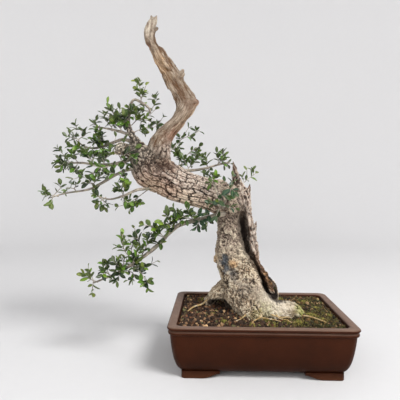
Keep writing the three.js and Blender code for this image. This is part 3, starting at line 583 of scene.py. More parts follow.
# Patches of colour on the wood: (x, y, z, radius, colour, strength). The 'shade' ones are painted
# shade, and the 'crevice' ones paint shade into cracks.
PATCHES = [
    (-58.5, -29, 177, 6, "slate", 0.85), (-60, -28, 168, 7, "slate", 0.9),
    (-57, -31, 159, 7, "slate", 0.85), (-48, -37, 153, 7, "slate", 0.6),
    (-40, -38, 151, 9, "shade", 0.45), (-44, -39, 169, 6.5, "orange", 0.6),
    (-76, -6, 173, 8, "orange", 0.35), (-36, -38, 186, 12, "light", 0.3),
    (-20, -40, 118, 14, "brown", 0.25), (-36, -36, 126, 12, "brown", 0.25),
    (-18, -40, 140, 10, "brown", 0.2), (-22, -40, 128, 12, "grey", 0.4),
    (-40, -30, 140, 12, "grey", 0.3), (24, -46, 110, 12, "pale", 0.15), (36, -52, 106, 14, "pale", 0.1),
    (50, -52, 100, 13, "tan", 0.1), (-24, -38, 192, 9, "light", 0.3), (-18, -38, 179, 10, "light", 0.3),
    (-10, -38, 162, 9, "tan", 0.2), (0, -38, 140, 10, "plate_warm", 0.25),
    (-2, -12, 180, 12, "fibre", 0.5), (5, -10, 162, 13, "groove", 0.65),
    (11, -12, 149, 12, "groove", 0.8), (16, -14, 139, 11, "groove", 0.9),
    (20, -4, 134, 11, "groove", 0.9), (24, -14, 128, 11, "groove", 0.9), (27, 2, 124, 12, "shade", 0.85),
    (32, -8, 120, 11, "shade", 0.8), (37, 6, 115, 13, "shade", 0.85), (20, -28, 132, 9, "groove", 0.9),
    (24, -24, 127, 9, "groove", 0.9), (46, 12, 100, 10, "shade", 0.8),
    (17, -16, 139, 3.5, "orange", 0.7), (23, -14, 131, 3.5, "orange", 0.6),
    (-10, -14, 226, 3, "shade", 0.55), (-12, -16, 213, 3, "shade", 0.6),
    (-7, -14, 202, 3.5, "shade", 0.6), (-4, -12, 190, 4, "shade", 0.55),
    (12, -16, 149, 3, "orange", 0.5), (68, -46, 96, 9, "moss", 0.45), (72, -40, 88, 9, "moss", 0.5),
    (10, -56, 90, 14, "moss", 0.2), (-8, -62, 88, 10, "moss", 0.2), (60, -52, 88, 10, "moss", 0.2),
    (55, -54, 90, 6, "brown", 0.6), (38, -2, 122, 6, "moss", 0.4), (-190, -7, 541, 5, "red_brown", 0.8),
    (-175, -2, 574, 4, "shade", 0.7), (-176, -10, 520, 10, "orange", 0.22),
    (-168, -12, 506, 10, "orange", 0.25), (-158, -12, 490, 10, "orange", 0.15),
    (-186, -6, 580, 16, "pale", 0.2), (-184, -8, 548, 16, "silver_dark", 0.3),
    (-192, -8, 560, 9, "pale", 0.2), (-108, 4, 448, 7, "red_brown", 0.6),
    (-118, -6, 440, 9, "red_brown", 0.35), (-138, -8, 408, 24, "silver_dark", 0.45),
    (-150, -14, 380, 14, "red_brown", 0.3), (-166, -32, 326, 10, "shade", 0.65),
    (-174, -28, 336, 9, "shade", 0.5), (-166, -24, 348, 16, "brown", 0.35),
    (-150, -26, 336, 12, "red_brown", 0.3), (-182, -30, 312, 26, "red_brown", 0.35),
    (-146, -4, 386, 11, "red_brown", 0.6), (-150, -30, 292, 16, "red_brown", 0.25),
    (-228, -8, 362, 24, "moss_dark", 0.25), (-247, -12, 365, 11, "pale", 0.8),
    (-218, 0, 388, 20, "grey", 0.5), (-206, -16, 350, 20, "grey", 0.5),
    # painted light: the three plate_pale patches below make the limb's lower front paler, as if lit from
    # below
    (-120, -22, 270, 16, "moss_dark", 0.15), (-134, -30, 284, 13, "plate_pale", 0.15),
    (-117, -30, 278, 13, "plate_pale", 0.2), (-99, -30, 273, 13, "plate_pale", 0.15),
    (-46, -24, 250, 20, "brown", 0.2), (-180, -22, 300, 16, "moss_dark", 0.2),
    (-42, -2, 334, 14, "brown", 0.6), (-40, -22, 291, 8, "shade", 0.7),
    (-22, -16, 284, 3.5, "shade", 0.8), (-19, -16, 270, 4, "shade", 0.7),
    (-27, -14, 304, 5, "plate_pale", 0.5), (-34, -6, 318, 4, "crevice", 0.6),
    (-31, -8, 306, 4, "crevice", 0.5), (-30, -8, 324, 4, "light", 0.5), (-26, -10, 310, 4, "light", 0.6),
    (-21, -12, 296, 4, "light", 0.5), (-12, -10, 150, 12, "red_brown", 0.2),
]


def remeshed(piece):
    """Wraps a piece in one even skin of quads, as the next of its modifiers."""
    modifier = piece.modifiers.new("even", "REMESH")
    modifier.mode = "VOXEL"
    modifier.voxel_size = VOXEL * MM


def fused_wood(limbs, cutters):
    """One closed skin of even quads round all limbs, less the cutters."""
    solid = add_mesh("trunk", *joined([course.tube(LIMB_SIDES, *lobes)[:2] for course, lobes in limbs]))
    remeshed(solid)
    hollows = []
    for course in cutters:
        hollow, faces = course.tube(CUTTER_SIDES)[:2]
        hollows.append((warped(hollow, (7, 11, 9), 3.4), faces))
    cutter = add_mesh("cutter", *joined([*hollows, box_shape(SOIL_CUT)]))
    remeshed(cutter)
    cut = solid.modifiers.new("cut", "BOOLEAN")
    cut.operation = "DIFFERENCE"
    cut.solver = "MANIFOLD"
    cut.object = cutter
    remeshed(solid)
    applied(solid)
    bpy.data.objects.remove(cutter)
    points = points_of(solid.data)
    quads = np.empty(len(solid.data.loops), np.int32)
    solid.data.loops.foreach_get("vertex_index", quads)
    bpy.data.objects.remove(solid)
    return points, quads.reshape(-1, 4)


def box_shape(top, reach=200, bottom=-50):
    """A box from far below up to a height, as a cutter."""
    low, high = np.array([-reach, -reach, bottom]), np.array([reach, reach, top])
    corners = [[(low, high)[i >> k & 1][k] for k in range(3)] for i in range(8)]
    faces = [[0, 2, 3, 1], [4, 5, 7, 6], [0, 1, 5, 4], [2, 6, 7, 3], [0, 4, 6, 2], [1, 3, 7, 5]]
    return np.array(corners, float), faces


def relaxed(points, quads, strength, rounds):
    """The points, each moved towards the middle of its neighbours again and again."""
    start, end = quads.ravel(), np.roll(quads, -1, axis=1).ravel()
    count = np.bincount(start, minlength=len(points))[:, None]
    for _ in range(rounds):
        sums = [np.bincount(start, points[end, axis], len(points)) for axis in range(3)]
        points = points + strength[:, None] * (np.stack(sums, 1) / count - points)
    return points


def normals_of(points, quads):
    diagonal = np.cross(points[quads[:, 2]] - points[quads[:, 0]], points[quads[:, 3]] - points[quads[:, 1]])
    sums = np.zeros((len(points), 3))
    for corner in range(4):
        for axis in range(3):
            sums[:, axis] += np.bincount(quads[:, corner], diagonal[:, axis], len(points))
    return unit(sums)


def nearness(points, course):
    """How far each point is from a course in radii, and the point in the straightened limb."""
    best = np.full(len(points), np.inf)
    local = np.zeros((len(points), 3))
    radius = np.sqrt(course.width * course.depth)
    for start in range(0, len(points), BATCH):
        part = slice(start, start + BATCH)
        offset = points[part, None] - course.centre[None]
        x = np.sum(offset * course.wide[None], axis=2)
        y = np.sum(offset * course.deep[None], axis=2)
        z = np.sum(offset * course.run[None], axis=2)
        distance = (x / course.width) ** 2 + (y / course.depth) ** 2 + (z / radius) ** 2
        index = np.argmin(distance, axis=1)
        row = np.arange(len(index))
        best[part] = np.sqrt(distance[row, index])
        local[part] = np.column_stack([x[row, index], y[row, index], course.along[index] + z[row, index]])
    return best, local


# Each kind of bark gives, for points in the straightened limb, the height of its relief in
# millimetres and its tone, 0 where it is dark and 1 where it is light. The tone is lowest down in
# its cracks and pits, so their dark is partly painted shade.


def granular(local):
    """The lower trunk: knobbly strands with a net of dark crevices, calmer in some places."""
    bent = warped(warped(local, 7, 3.4), 3, 1.6)
    wide = ramp(np.abs(waves(bent, (6.2, 6.2, 9.5))), 0, 0.28)
    fine = ramp(np.abs(waves(bent + 50, (3.4, 3.4, 5))), 0, 0.32)
    grit = waves(local, 1.9, 2)
    lumps = waves(local, 10, 2)
    pits = ramp(waves(bent + 90, (4.6, 4.6, 6), 2), 0.1, 0.4)
    strand = 0.55 * wide + 0.45 * fine
    calm = ramp(waves(local + 140, (16, 16, 26), 2), -0.3, 0.35)
    strand = strand + 0.45 * calm * (0.9 - strand)
    tone = -0.27 + 1.28 * strand + 0.75 * grit + 0.3 * lumps + 0.3 * waves(local, 24)
    tone = tone - 0.8 * pits * (1 - 0.6 * calm)
    return 3.8 * strand + 2.2 * lumps + 0.9 * grit - 1.2 * pits - 2.3, tone


def worn(local):
    """Smooth pale root bark with few pits."""
    height, tone = granular(local)
    return 0.5 * height, 0.55 + 0.45 * (tone - 0.5) + 0.2 * waves(local, 14, 2)


def fissured(local):
    """The upper trunk: knobbly ridges along it, with dark cracks between them."""
    bent = warped(warped(local, 9, 4.4), 3.4, 1.6)
    wide = ramp(np.abs(waves(bent, (5.8, 5.8, 14))), 0, 0.26)
    fine = ramp(np.abs(waves(bent + 50, (3, 3, 6))), 0, 0.3)
    edge, number = cells(bent + 30, (4.6, 4.6, 7.5))
    grit = waves(local, 1.9, 2)
    lumps = waves(local, 10, 2)
    ridge = 0.5 * wide + 0.3 * fine + 0.2 * ramp(edge, 0.02, 0.3)
    tone = -0.2 + 0.88 * ridge + 0.26 * number + 0.6 * grit + 0.16 * lumps
    return 4.4 * ridge + 1.2 * (number - 0.5) + 3.2 * lumps + 0.9 * grit - 3.0, tone


def scattered(*numbers):
    """A number from 0 to 1 for each set of whole numbers."""
    mix = sum(number * factor for number, factor in zip(numbers, (127.1, 311.7, 74.7)))
    return np.modf(np.abs(np.sin(mix) * 43758.5453))[0]


LIMB_GIRTH = 170  # about how far it is round the limb


def rows_of_plates(local, rows, length, shift):
    """Plates in rows round the limb: how open the crack beside a point is, and its plate's number."""
    bent = warped(local + shift, 5, 0.9) - shift
    turn = np.arctan2(bent[:, 0], -bent[:, 1]) / (2 * math.pi) + 0.5
    around = turn * rows + 0.8 * waves(local + shift, (26, 26, 30))
    row = np.floor(around)
    to_row = np.abs(around - row - 0.5)
    beside_row = (0.5 - to_row) * LIMB_GIRTH / rows
    part = np.mod(row, rows)
    place_on = local[:, 2] / length + 7 * scattered(part, part + shift)
    place_on = place_on + 0.3 * waves(local + 2 * shift, (7, 7, 16))
    plate = np.floor(place_on)
    beside_end = (0.5 - np.abs(place_on - plate - 0.5)) * length
    number = scattered(part, plate, part * 0 + shift)
    strength = ramp(waves(local + 3 * shift, (12, 12, 20)), -0.45, 0.1)
    wide = 1.5 + 0.7 * waves(local + 4 * shift, 9)
    row_crack = (1 - ramp(beside_row / wide, 0.25, 1)) * (0.4 + 0.6 * strength)
    end_crack = (1 - ramp(beside_end / wide, 0.25, 1)) * ramp(scattered(plate, part), 0.1, 0.4)
    return np.maximum(row_crack, end_crack), number


def plated(local):
    """The limb: flat pale plates in rows along it, between thin dark cracks."""
    crack, number = rows_of_plates(local, rows=16, length=18, shift=31)
    split, split_number = rows_of_plates(local, rows=37, length=9, shift=77)
    pits = ramp(waves(local, 5.5, 2), 0.28, 0.5)
    grit = waves(local, 1.9, 2)
    tone = 0.64 + 0.26 * number + 0.12 * split_number + 0.34 * grit
    tone -= 0.95 * crack + split * (0.22 + 0.28 * number) + 0.5 * pits
    height = -2.4 * crack - 0.9 * split - 1.2 * pits + 0.9 * (number - 0.5) + 0.5 * grit
    return height + 1.3 * waves(local, 14), tone


def chunky(local):
    """Rough broken bark in the crotch and at the limb's bend."""
    bent = warped(local, 9, 6)
    edge, number = cells(bent, (8, 8, 11))
    chip, chip_number = cells(bent + 55, (3.6, 3.6, 5))
    ridge = 1 - np.abs(waves(bent, 7, 2))
    grit = waves(local, 2, 3)
    chunk = ramp(edge, 0.03, 0.34)
    flat = ramp(chip, 0.03, 0.4)
    tone = chunk * (0.22 + 0.34 * number) + 0.26 * flat * chip_number + 0.45 * (ridge - 0.6)
    tone = 0.4 + 2.3 * (tone + 0.42 * grit - 0.34)
    height = 2.4 * chunk + 1.2 * flat + 2.4 * (ridge - 0.6) + 1.2 * (number - 0.5) + 1.0 * grit
    return height - 2.4, tone


def silvery(local):
    """Bare deadwood: grooves and ribs that run along it."""
    bent = warped(local, (14, 14, 40), 4)
    ribs = 1 - np.abs(waves(bent, (8, 8, 90)))
    lines = 1 - np.abs(waves(bent, (3.4, 3.4, 46), 2))
    checks = ramp(np.abs(waves(bent + 30, (4.5, 4.5, 60))), 0.0, 0.11)
    hair = waves(local, (1.6, 1.6, 12), 2)
    blotch = waves(local, (9, 9, 16), 2)
    height = 3.2 * (ribs - 0.75) + 1.8 * (lines - 0.7) + 1.6 * (checks - 1) + 0.5 * hair + 0.8 * blotch
    tone = 0.5 + 0.66 * (ribs - 0.8) + 0.6 * (lines - 0.75) + 0.36 * (checks - 1) + 0.34 * hair + 0.3 * blotch
    return height, tone


def fibrous(local):
    """Torn dead wood of the spikes and of the strip beside the split."""
    bent = warped(local, (8, 8, 16), 4.5)
    ribs = 1 - np.abs(waves(bent, (3.6, 3.6, 34), 2))
    shreds, number = cells(bent, (3.8, 3.8, 15))
    chip, chip_number = cells(bent + 20, (2.8, 2.8, 4.5))
    knots = waves(local, 7, 2)
    torn = ramp(shreds, 0.02, 0.36)
    height = 2.8 * (ribs - 0.72) + 1.5 * torn + 1.6 * (number - 0.5) + 1.5 * knots
    height = height + 0.7 * ramp(chip, 0, 0.4) - 1.5
    tone = 0.24 + 2.3 * (ribs - 0.7) + torn * (0.04 + 0.7 * number) + 0.5 * knots + 0.8 * (chip_number - 0.5)
    return height, tone


def painted(tone, dark, middle, light):
    """Colours that run from one of BARK through a second to a third as the tone rises."""
    low = mixed(BARK[dark], BARK[middle], ramp(tone, 0.05, 0.5))
    return mixed(low, BARK[light], ramp(tone, 0.45, 0.95))


KINDS = {
    "granular": (granular, ("crack", "tan", "bleached")),
    "fissured": (fissured, ("crack", "plate_warm", "light")),
    "worn": (worn, ("crevice", "light", "pale")),
    "plated": (plated, ("crack", "plate_warm", "plate_pale")),
    "chunky": (chunky, ("crack", "brown", "plate")),
    "silvery": (silvery, ("groove", "silver_dark", "silver")),
    "fibrous": (fibrous, ("crack", "fibre", "plate_pale")),
}
FISSURES_FROM = (165, 205)  # heights over which the trunk's bark changes
LIMB_FROM = (-55, -85)  # places along X where the trunk's bark becomes the limb's plates
CHUNKS_FROM = (-130, -158)  # and where the upper side of the limb breaks up into chunks
STEM_BARE_FROM = (438, 464)  # height less half of X, where the stem loses its bark
STEM_CHUNKS_TO = (278, 296)  # height and 0.4 of X, up to where the stem has the limb's chunks
STRIP_FROM = (96, 112)  # heights over which the strip beside the split turns to torn fibres
STRIP_EDGE = 5  # how far past the split's middle the strip is all fibres
STRIP_BACK, STRIP_FADE = 30, 25  # the place along Y where the fibres end, and over what depth they fade
FIBROUS_PARTS = {"shoulder", "small_spike", "edge_nub", "spike_rib", "strip_prong", "strip_tooth"}
SILVERY_PARTS = {"stem_nub", "stem_knee", *WOOD_DETAILS}


def kind_weights(limb_name, points):
    """How much of each kind of bark each point has."""
    ones = np.ones(len(points))
    if limb_name == "stem":
        bare = ramp(points[:, 2] - 0.5 * points[:, 0] + 12 * waves(points, 12), *STEM_BARE_FROM)
        chunks = 1 - ramp(points[:, 2] + 0.4 * points[:, 0] + 8 * waves(points, 10), *STEM_CHUNKS_TO)
        return {"silvery": bare, "plated": (1 - bare) * (1 - chunks), "chunky": (1 - bare) * chunks}
    if limb_name in FIBROUS_PARTS:
        return {"fibrous": ones}
    if limb_name in SILVERY_PARTS:
        return {"silvery": ones}
    if limb_name == "stub":
        return {"chunky": ones}
    if limb_name in ("right", "front_right"):
        return {"granular": 0.3 * ones, "worn": 0.7 * ones}
    if limb_name != "trunk":
        return {"granular": ones}
    on_limb = ramp(-points[:, 0], -LIMB_FROM[0], -LIMB_FROM[1]) * ramp(points[:, 2], 235, 255)
    chunks = ramp(-points[:, 0], -CHUNKS_FROM[0], -CHUNKS_FROM[1]) * on_limb
    chunks *= ramp(points[:, 2] + 10 * waves(points, 14), 318, 336)
    cracked = ramp(points[:, 2], *FISSURES_FROM)
    torn = ramp(past_split(points), 0, STRIP_EDGE) * ramp(points[:, 2], *STRIP_FROM)
    torn *= ramp(STRIP_BACK - points[:, 1], 0, STRIP_FADE)
    standing = (1 - on_limb) * (1 - torn)
    return {
        "plated": on_limb - chunks,
        "chunky": chunks,
        "fibrous": (1 - on_limb) * torn,
        "fissured": standing * cracked,
        "granular": standing * (1 - cracked),
    }


def past_split(points):
    """How far to the right of the split's middle each point is."""
    heights, places = zip(*sorted((ring[2], ring[0]) for ring in SPLIT))
    return points[:, 0] - np.interp(points[:, 2], heights, places)


LIMB_EDGE = 9  # how sharply one limb's bark gives way to the next one's
LEAST_SHARE, LEAST_WEIGHT = 0.08, 0.02  # bark that would count for less is left out


def bark_over(limbs, points):
    """Height, colour and grain of the bark at each point, blended where limbs meet."""
    found = [nearness(points, course) for _, course in limbs]
    distance = np.stack([near for near, _ in found])
    share = np.exp(-LIMB_EDGE * (distance - distance.min(axis=0)))
    share[share < LEAST_SHARE] = 0
    share /= share.sum(axis=0)
    height = np.zeros(len(points))
    colour = np.zeros((len(points), 3))
    grain = found[0][1].copy()
    nearest = distance.argmin(axis=0)
    for index, (name, _) in enumerate(limbs):
        grain[nearest == index] = found[index][1][nearest == index] + 200 * index
        for kind, weight in kind_weights(name, points).items():
            weight = weight * share[index]
            here = weight > LEAST_WEIGHT
            if not here.any():
                continue
            pattern, palette = KINDS[kind]
            shift = (0, 0, 70 * index) if kind == "plated" else 70 * index
            bumps, tone = pattern(found[index][1][here] + shift)
            height[here] += weight[here] * bumps
            colour[here] += weight[here, None] * painted(tone, *palette)
    return height, colour, grain


def slimness(limbs, points):
    """The radius of the nearest limb at each point."""
    radius = np.zeros(len(points))
    nearest = np.full(len(points), np.inf)
    for _, course in limbs:
        for start in range(0, len(points), BATCH):
            part = slice(start, start + BATCH)
            gap = np.linalg.norm(points[part, None] - course.centre[None], axis=2)
            size = np.sqrt(course.width * course.depth)[None]
            reach = gap / size
            index = reach.argmin(axis=1)
            row = np.arange(len(index))
            closer = reach[row, index] < nearest[part]
            radius[part] = np.where(closer, size[0][index], radius[part])
            nearest[part] = np.where(closer, reach[row, index], nearest[part])
    return radius


def thinned(piece, triangles):
    """Fewer faces where the surface is plain, until the piece has at most that many triangles."""
    piece.data.calc_loop_triangles()
    now = len(piece.data.loop_triangles)
    if now > triangles:
        decimate = piece.modifiers.new("thin", "DECIMATE")
        decimate.ratio = triangles / now
        applied(piece)


SPLIT_SHADE_REACH, SPLIT_DARK = 1.5, 1.15  # how many radii the split's painted shade reaches, and over how many it is full
HOLE_SHADE_REACH = (1.45, 1.2)  # how many radii the painted shade of the root's hollow and of the pocket reaches
STRIP_FOOT_FROM, STRIP_FOOT_TO = (107, 115), (150, 168)  # heights over which the foot starts and ends
STRIP_ACROSS, STRIP_DOWN = (0.87, 0, 0.49), (0.49, 0, -0.87)


def hollow_shares(points, cutters):
    """How far each point is inside the split, and inside one of the holes under the wood, for their painted
    shade.
    """
    split_gap, _ = nearness(points, cutters[0])
    inside_split = ramp(-split_gap, -SPLIT_SHADE_REACH, -SPLIT_DARK)
    inside_hole = np.zeros(len(points))
    for course, shade_reach in zip(cutters[1:], HOLE_SHADE_REACH):
        hole_gap, _ = nearness(points, course)
        inside_hole = np.maximum(inside_hole, ramp(-hole_gap, -shade_reach, -0.75 * shade_reach))
    return inside_split, inside_hole


def strip_foot(points):
    """Where the strip beside the split spreads into its foot, and the streaks that run down it."""
    foot = ramp(past_split(points), 0, 4) * ramp(points[:, 2], *STRIP_FOOT_FROM)
    foot *= 1 - ramp(points[:, 2], *STRIP_FOOT_TO)
    down_strip = np.column_stack([points @ STRIP_ACROSS, points[:, 1], points @ STRIP_DOWN])
    return foot, ramp(waves(warped(down_strip, 5, 1.5), (2.2, 2.2, 13), 2), -0.25, 0.35)


def with_patches(points, colour):
    """The colours with each patch's laid over them, still as light and dark as the bark was."""
    rough = 0.75 + 0.5 * waves(points, 6, 2)
    for x, y, z, radius, name, strength in PATCHES:
        gap = np.linalg.norm(points - (x, y, z), axis=1)
        share = strength * (1 - ramp(gap * rough, 0.4 * radius, 1.3 * radius))
        brightness = colour.mean(axis=1, keepdims=True) / BARK["tan"].mean()
        tinted = BARK[name] * np.clip(0.3 + 0.75 * brightness, 0.25, 1.5)
        colour = colour + share[:, None] * (tinted - colour)
    return colour


LOBES = {"trunk": (0.05, 5), "stem": (0.05, 3)}  # how deep they are, and how many go round
SLIM, THICK = 3, 9  # wood is smoothed from the first radius on, and has full relief from the second
SMOOTHING_ROUNDS = 14
HOLLOW_CALM, STREAK_RELIEF = 0.4, 1.8
SPLIT_DEEP = (-16, 0)  # places along Y over which the split's painted shade deepens to near black
UNDERSIDE_FROM = (235, 262)  # heights from which undersides are the limb's
UNDERSIDE_TINT = (1.42, 1.32, 1.22)  # pale and warm, as if lit from below


def add_trunk():
    """The trunk, roots, limb, bare stem and spikes as one piece, with its bark cut and painted."""
    named = {"trunk": TRUNK_AND_LIMB, "stem": DEADWOOD_STEM, **LIMB_PARTS, **ROOTS, **WOOD_DETAILS}
    limbs = [(name, Course(rings, LIMB_STEPS)) for name, rings in named.items()]
    cutters = [Course(rings, LIMB_STEPS) for rings in (SPLIT, ROOT_HOLLOW, FOOT_POCKET)]
    points, quads = fused_wood([(course, LOBES.get(name, ())) for name, course in limbs], cutters)
    points = relaxed(points, quads, 0.5 * ramp(slimness(limbs, points), SLIM, THICK), SMOOTHING_ROUNDS)
    height, colour, grain = bark_over(limbs, points)
    normals = normals_of(points, quads)

    inside, inside_hole = hollow_shares(points, cutters)
    foot, streak = strip_foot(points)
    height *= 1 - HOLLOW_CALM * np.maximum(inside, inside_hole)
    height += STREAK_RELIEF * foot * (streak - 0.5)
    for x, y, z, radius, depth in DENTS:
        gap = np.linalg.norm(points - (x, y, z), axis=1)
        height -= depth * (1 - ramp(gap, 0.2 * radius, 1.3 * radius))

    # Painted shade: near its front the split's sides are darkened, and further back they and the holes under
    # the wood are painted near black.
    deep = ramp(points[:, 1], *SPLIT_DEEP)
    colour = mixed(colour, 0.38 * colour + 0.08 * BARK["groove"], inside * (1 - deep))
    colour = mixed(colour, BARK["hollow"], np.maximum(inside * deep, 0.9 * inside_hole))
    colour = with_patches(points, colour)
    underside = ramp(-normals[:, 2], 0.1, 0.6) * ramp(points[:, 2], *UNDERSIDE_FROM)
    colour = mixed(colour, colour * UNDERSIDE_TINT, underside)
    colour = colour * (1 + foot * (1.7 * streak - 0.8))[:, None]

    slim = np.minimum(1, slimness(limbs, points) / THICK)  # thin spikes keep their shape
    points = points + normals * (height * slim)[:, None]
    trunk = add_mesh("trunk_wood", points, quads.tolist(), WOOD, colour, grain)
    thinned(trunk, TRUNK_TRIANGLES)
    finished(trunk, "bark", "trunk")
    return trunk


# ---- Live branches: rings (x, y, z, radius), from the wood outwards ----

BRANCHES = {
    "lower_left_branch": [
        (-52, -20, 254, 5), (-93, -33, 244, 4.1), (-137, -38, 232, 3.6), (-171, -42, 199, 3.3),
        (-203, -46, 174, 2.8), (-238, -47, 153, 2), (-277, -46, 136, 1.2),
    ],
    "left_low_branch": [
        (-200, -10, 334, 3.4), (-236, -22, 322, 2.6), (-270, -29, 302, 2.2),
        (-291, -31, 292, 1.8), (-327, -34, 286, 1.4), (-354, -36, 278, 0.9),
    ],
    "left_middle_branch": [
        (-210, -6, 352, 4), (-236, -2, 341, 3.4), (-262, 2, 336, 3), (-290, 8, 337, 2.4),
        (-318, 14, 340, 1.8), (-346, 20, 339, 1.1),
    ],
    "left_upper_branch": [
        (-222, 2, 388, 3.2), (-246, 8, 396, 2.4), (-267, 14, 401, 1.8), (-289, 20, 406, 1.1),
    ],
    "left_back_branch": [
        (-218, 6, 376, 3.6), (-240, 16, 382, 3.1), (-263, 26, 377, 2.6), (-292, 36, 369, 2.1),
        (-316, 42, 371, 1.6), (-336, 48, 384, 1),
    ],
    "arched_top_branch": [
        (-229, 4, 402, 4.4), (-229, 5, 416, 3.8), (-225, 2, 436, 3), (-221, 0, 447, 2.5),
        (-214, -2, 449.5, 2.3), (-203, -3, 444, 2.3), (-192, -1, 436, 2.1), (-189, 3, 427, 1.6),
    ],
    "elbow_branch": [
        (-172, -10, 298, 3.2), (-190, -20, 294, 2.8), (-208, -24, 292, 2.4),
        (-230, -28, 282, 1.9), (-253, -32, 276, 1.5), (-273, -34, 281, 0.9),
    ],
    "back_right_branch": [
        (-168, 16, 330, 4.4), (-154, 38, 329, 3.6), (-128, 50, 328, 3), (-100, 57, 331, 2.3),
        (-74, 60, 338, 1.8), (-46, 60, 345, 1.1),
    ],
    "front_branch": [
        (-58, -18, 260, 3.4), (-64, -38, 268, 2.6), (-68, -47, 280, 2.1), (-74, -50, 296, 1.6),
        (-78, -50, 309, 1.1),
    ],
}


def add_branch(name, rings):
    """One live branch: a tube with knuckles, moss on it here and there."""
    course = Course(rings, BRANCH_STEPS)
    points, faces, grain = course.tube(BRANCH_SIDES)
    axis = np.repeat(course.centre, BRANCH_SIDES, axis=0)
    points = points + 0.2 * waves(points, 4.5, 2)[:, None] * (points - axis)
    tone = 0.55 + 0.5 * waves(grain, (2.5, 2.5, 6), 3)
    colour = painted(tone, "brown", "grey", "light")
    colour = mixed(colour, BARK["moss_dark"], 0.5 * ramp(waves(points, 16), 0, 0.5))
    branch = add_mesh(name + "_wood", points, faces, TWIG, colour, grain)
    finished(branch, "branch_bark", name)


# ---- Sprays: (leaf length, where it leaves its branch, twigs) ----
# A twig is (how many leaves, its points). A twig whose first point is on an earlier twig parts from
# it there; the others part at the end of the spray's short stalk.

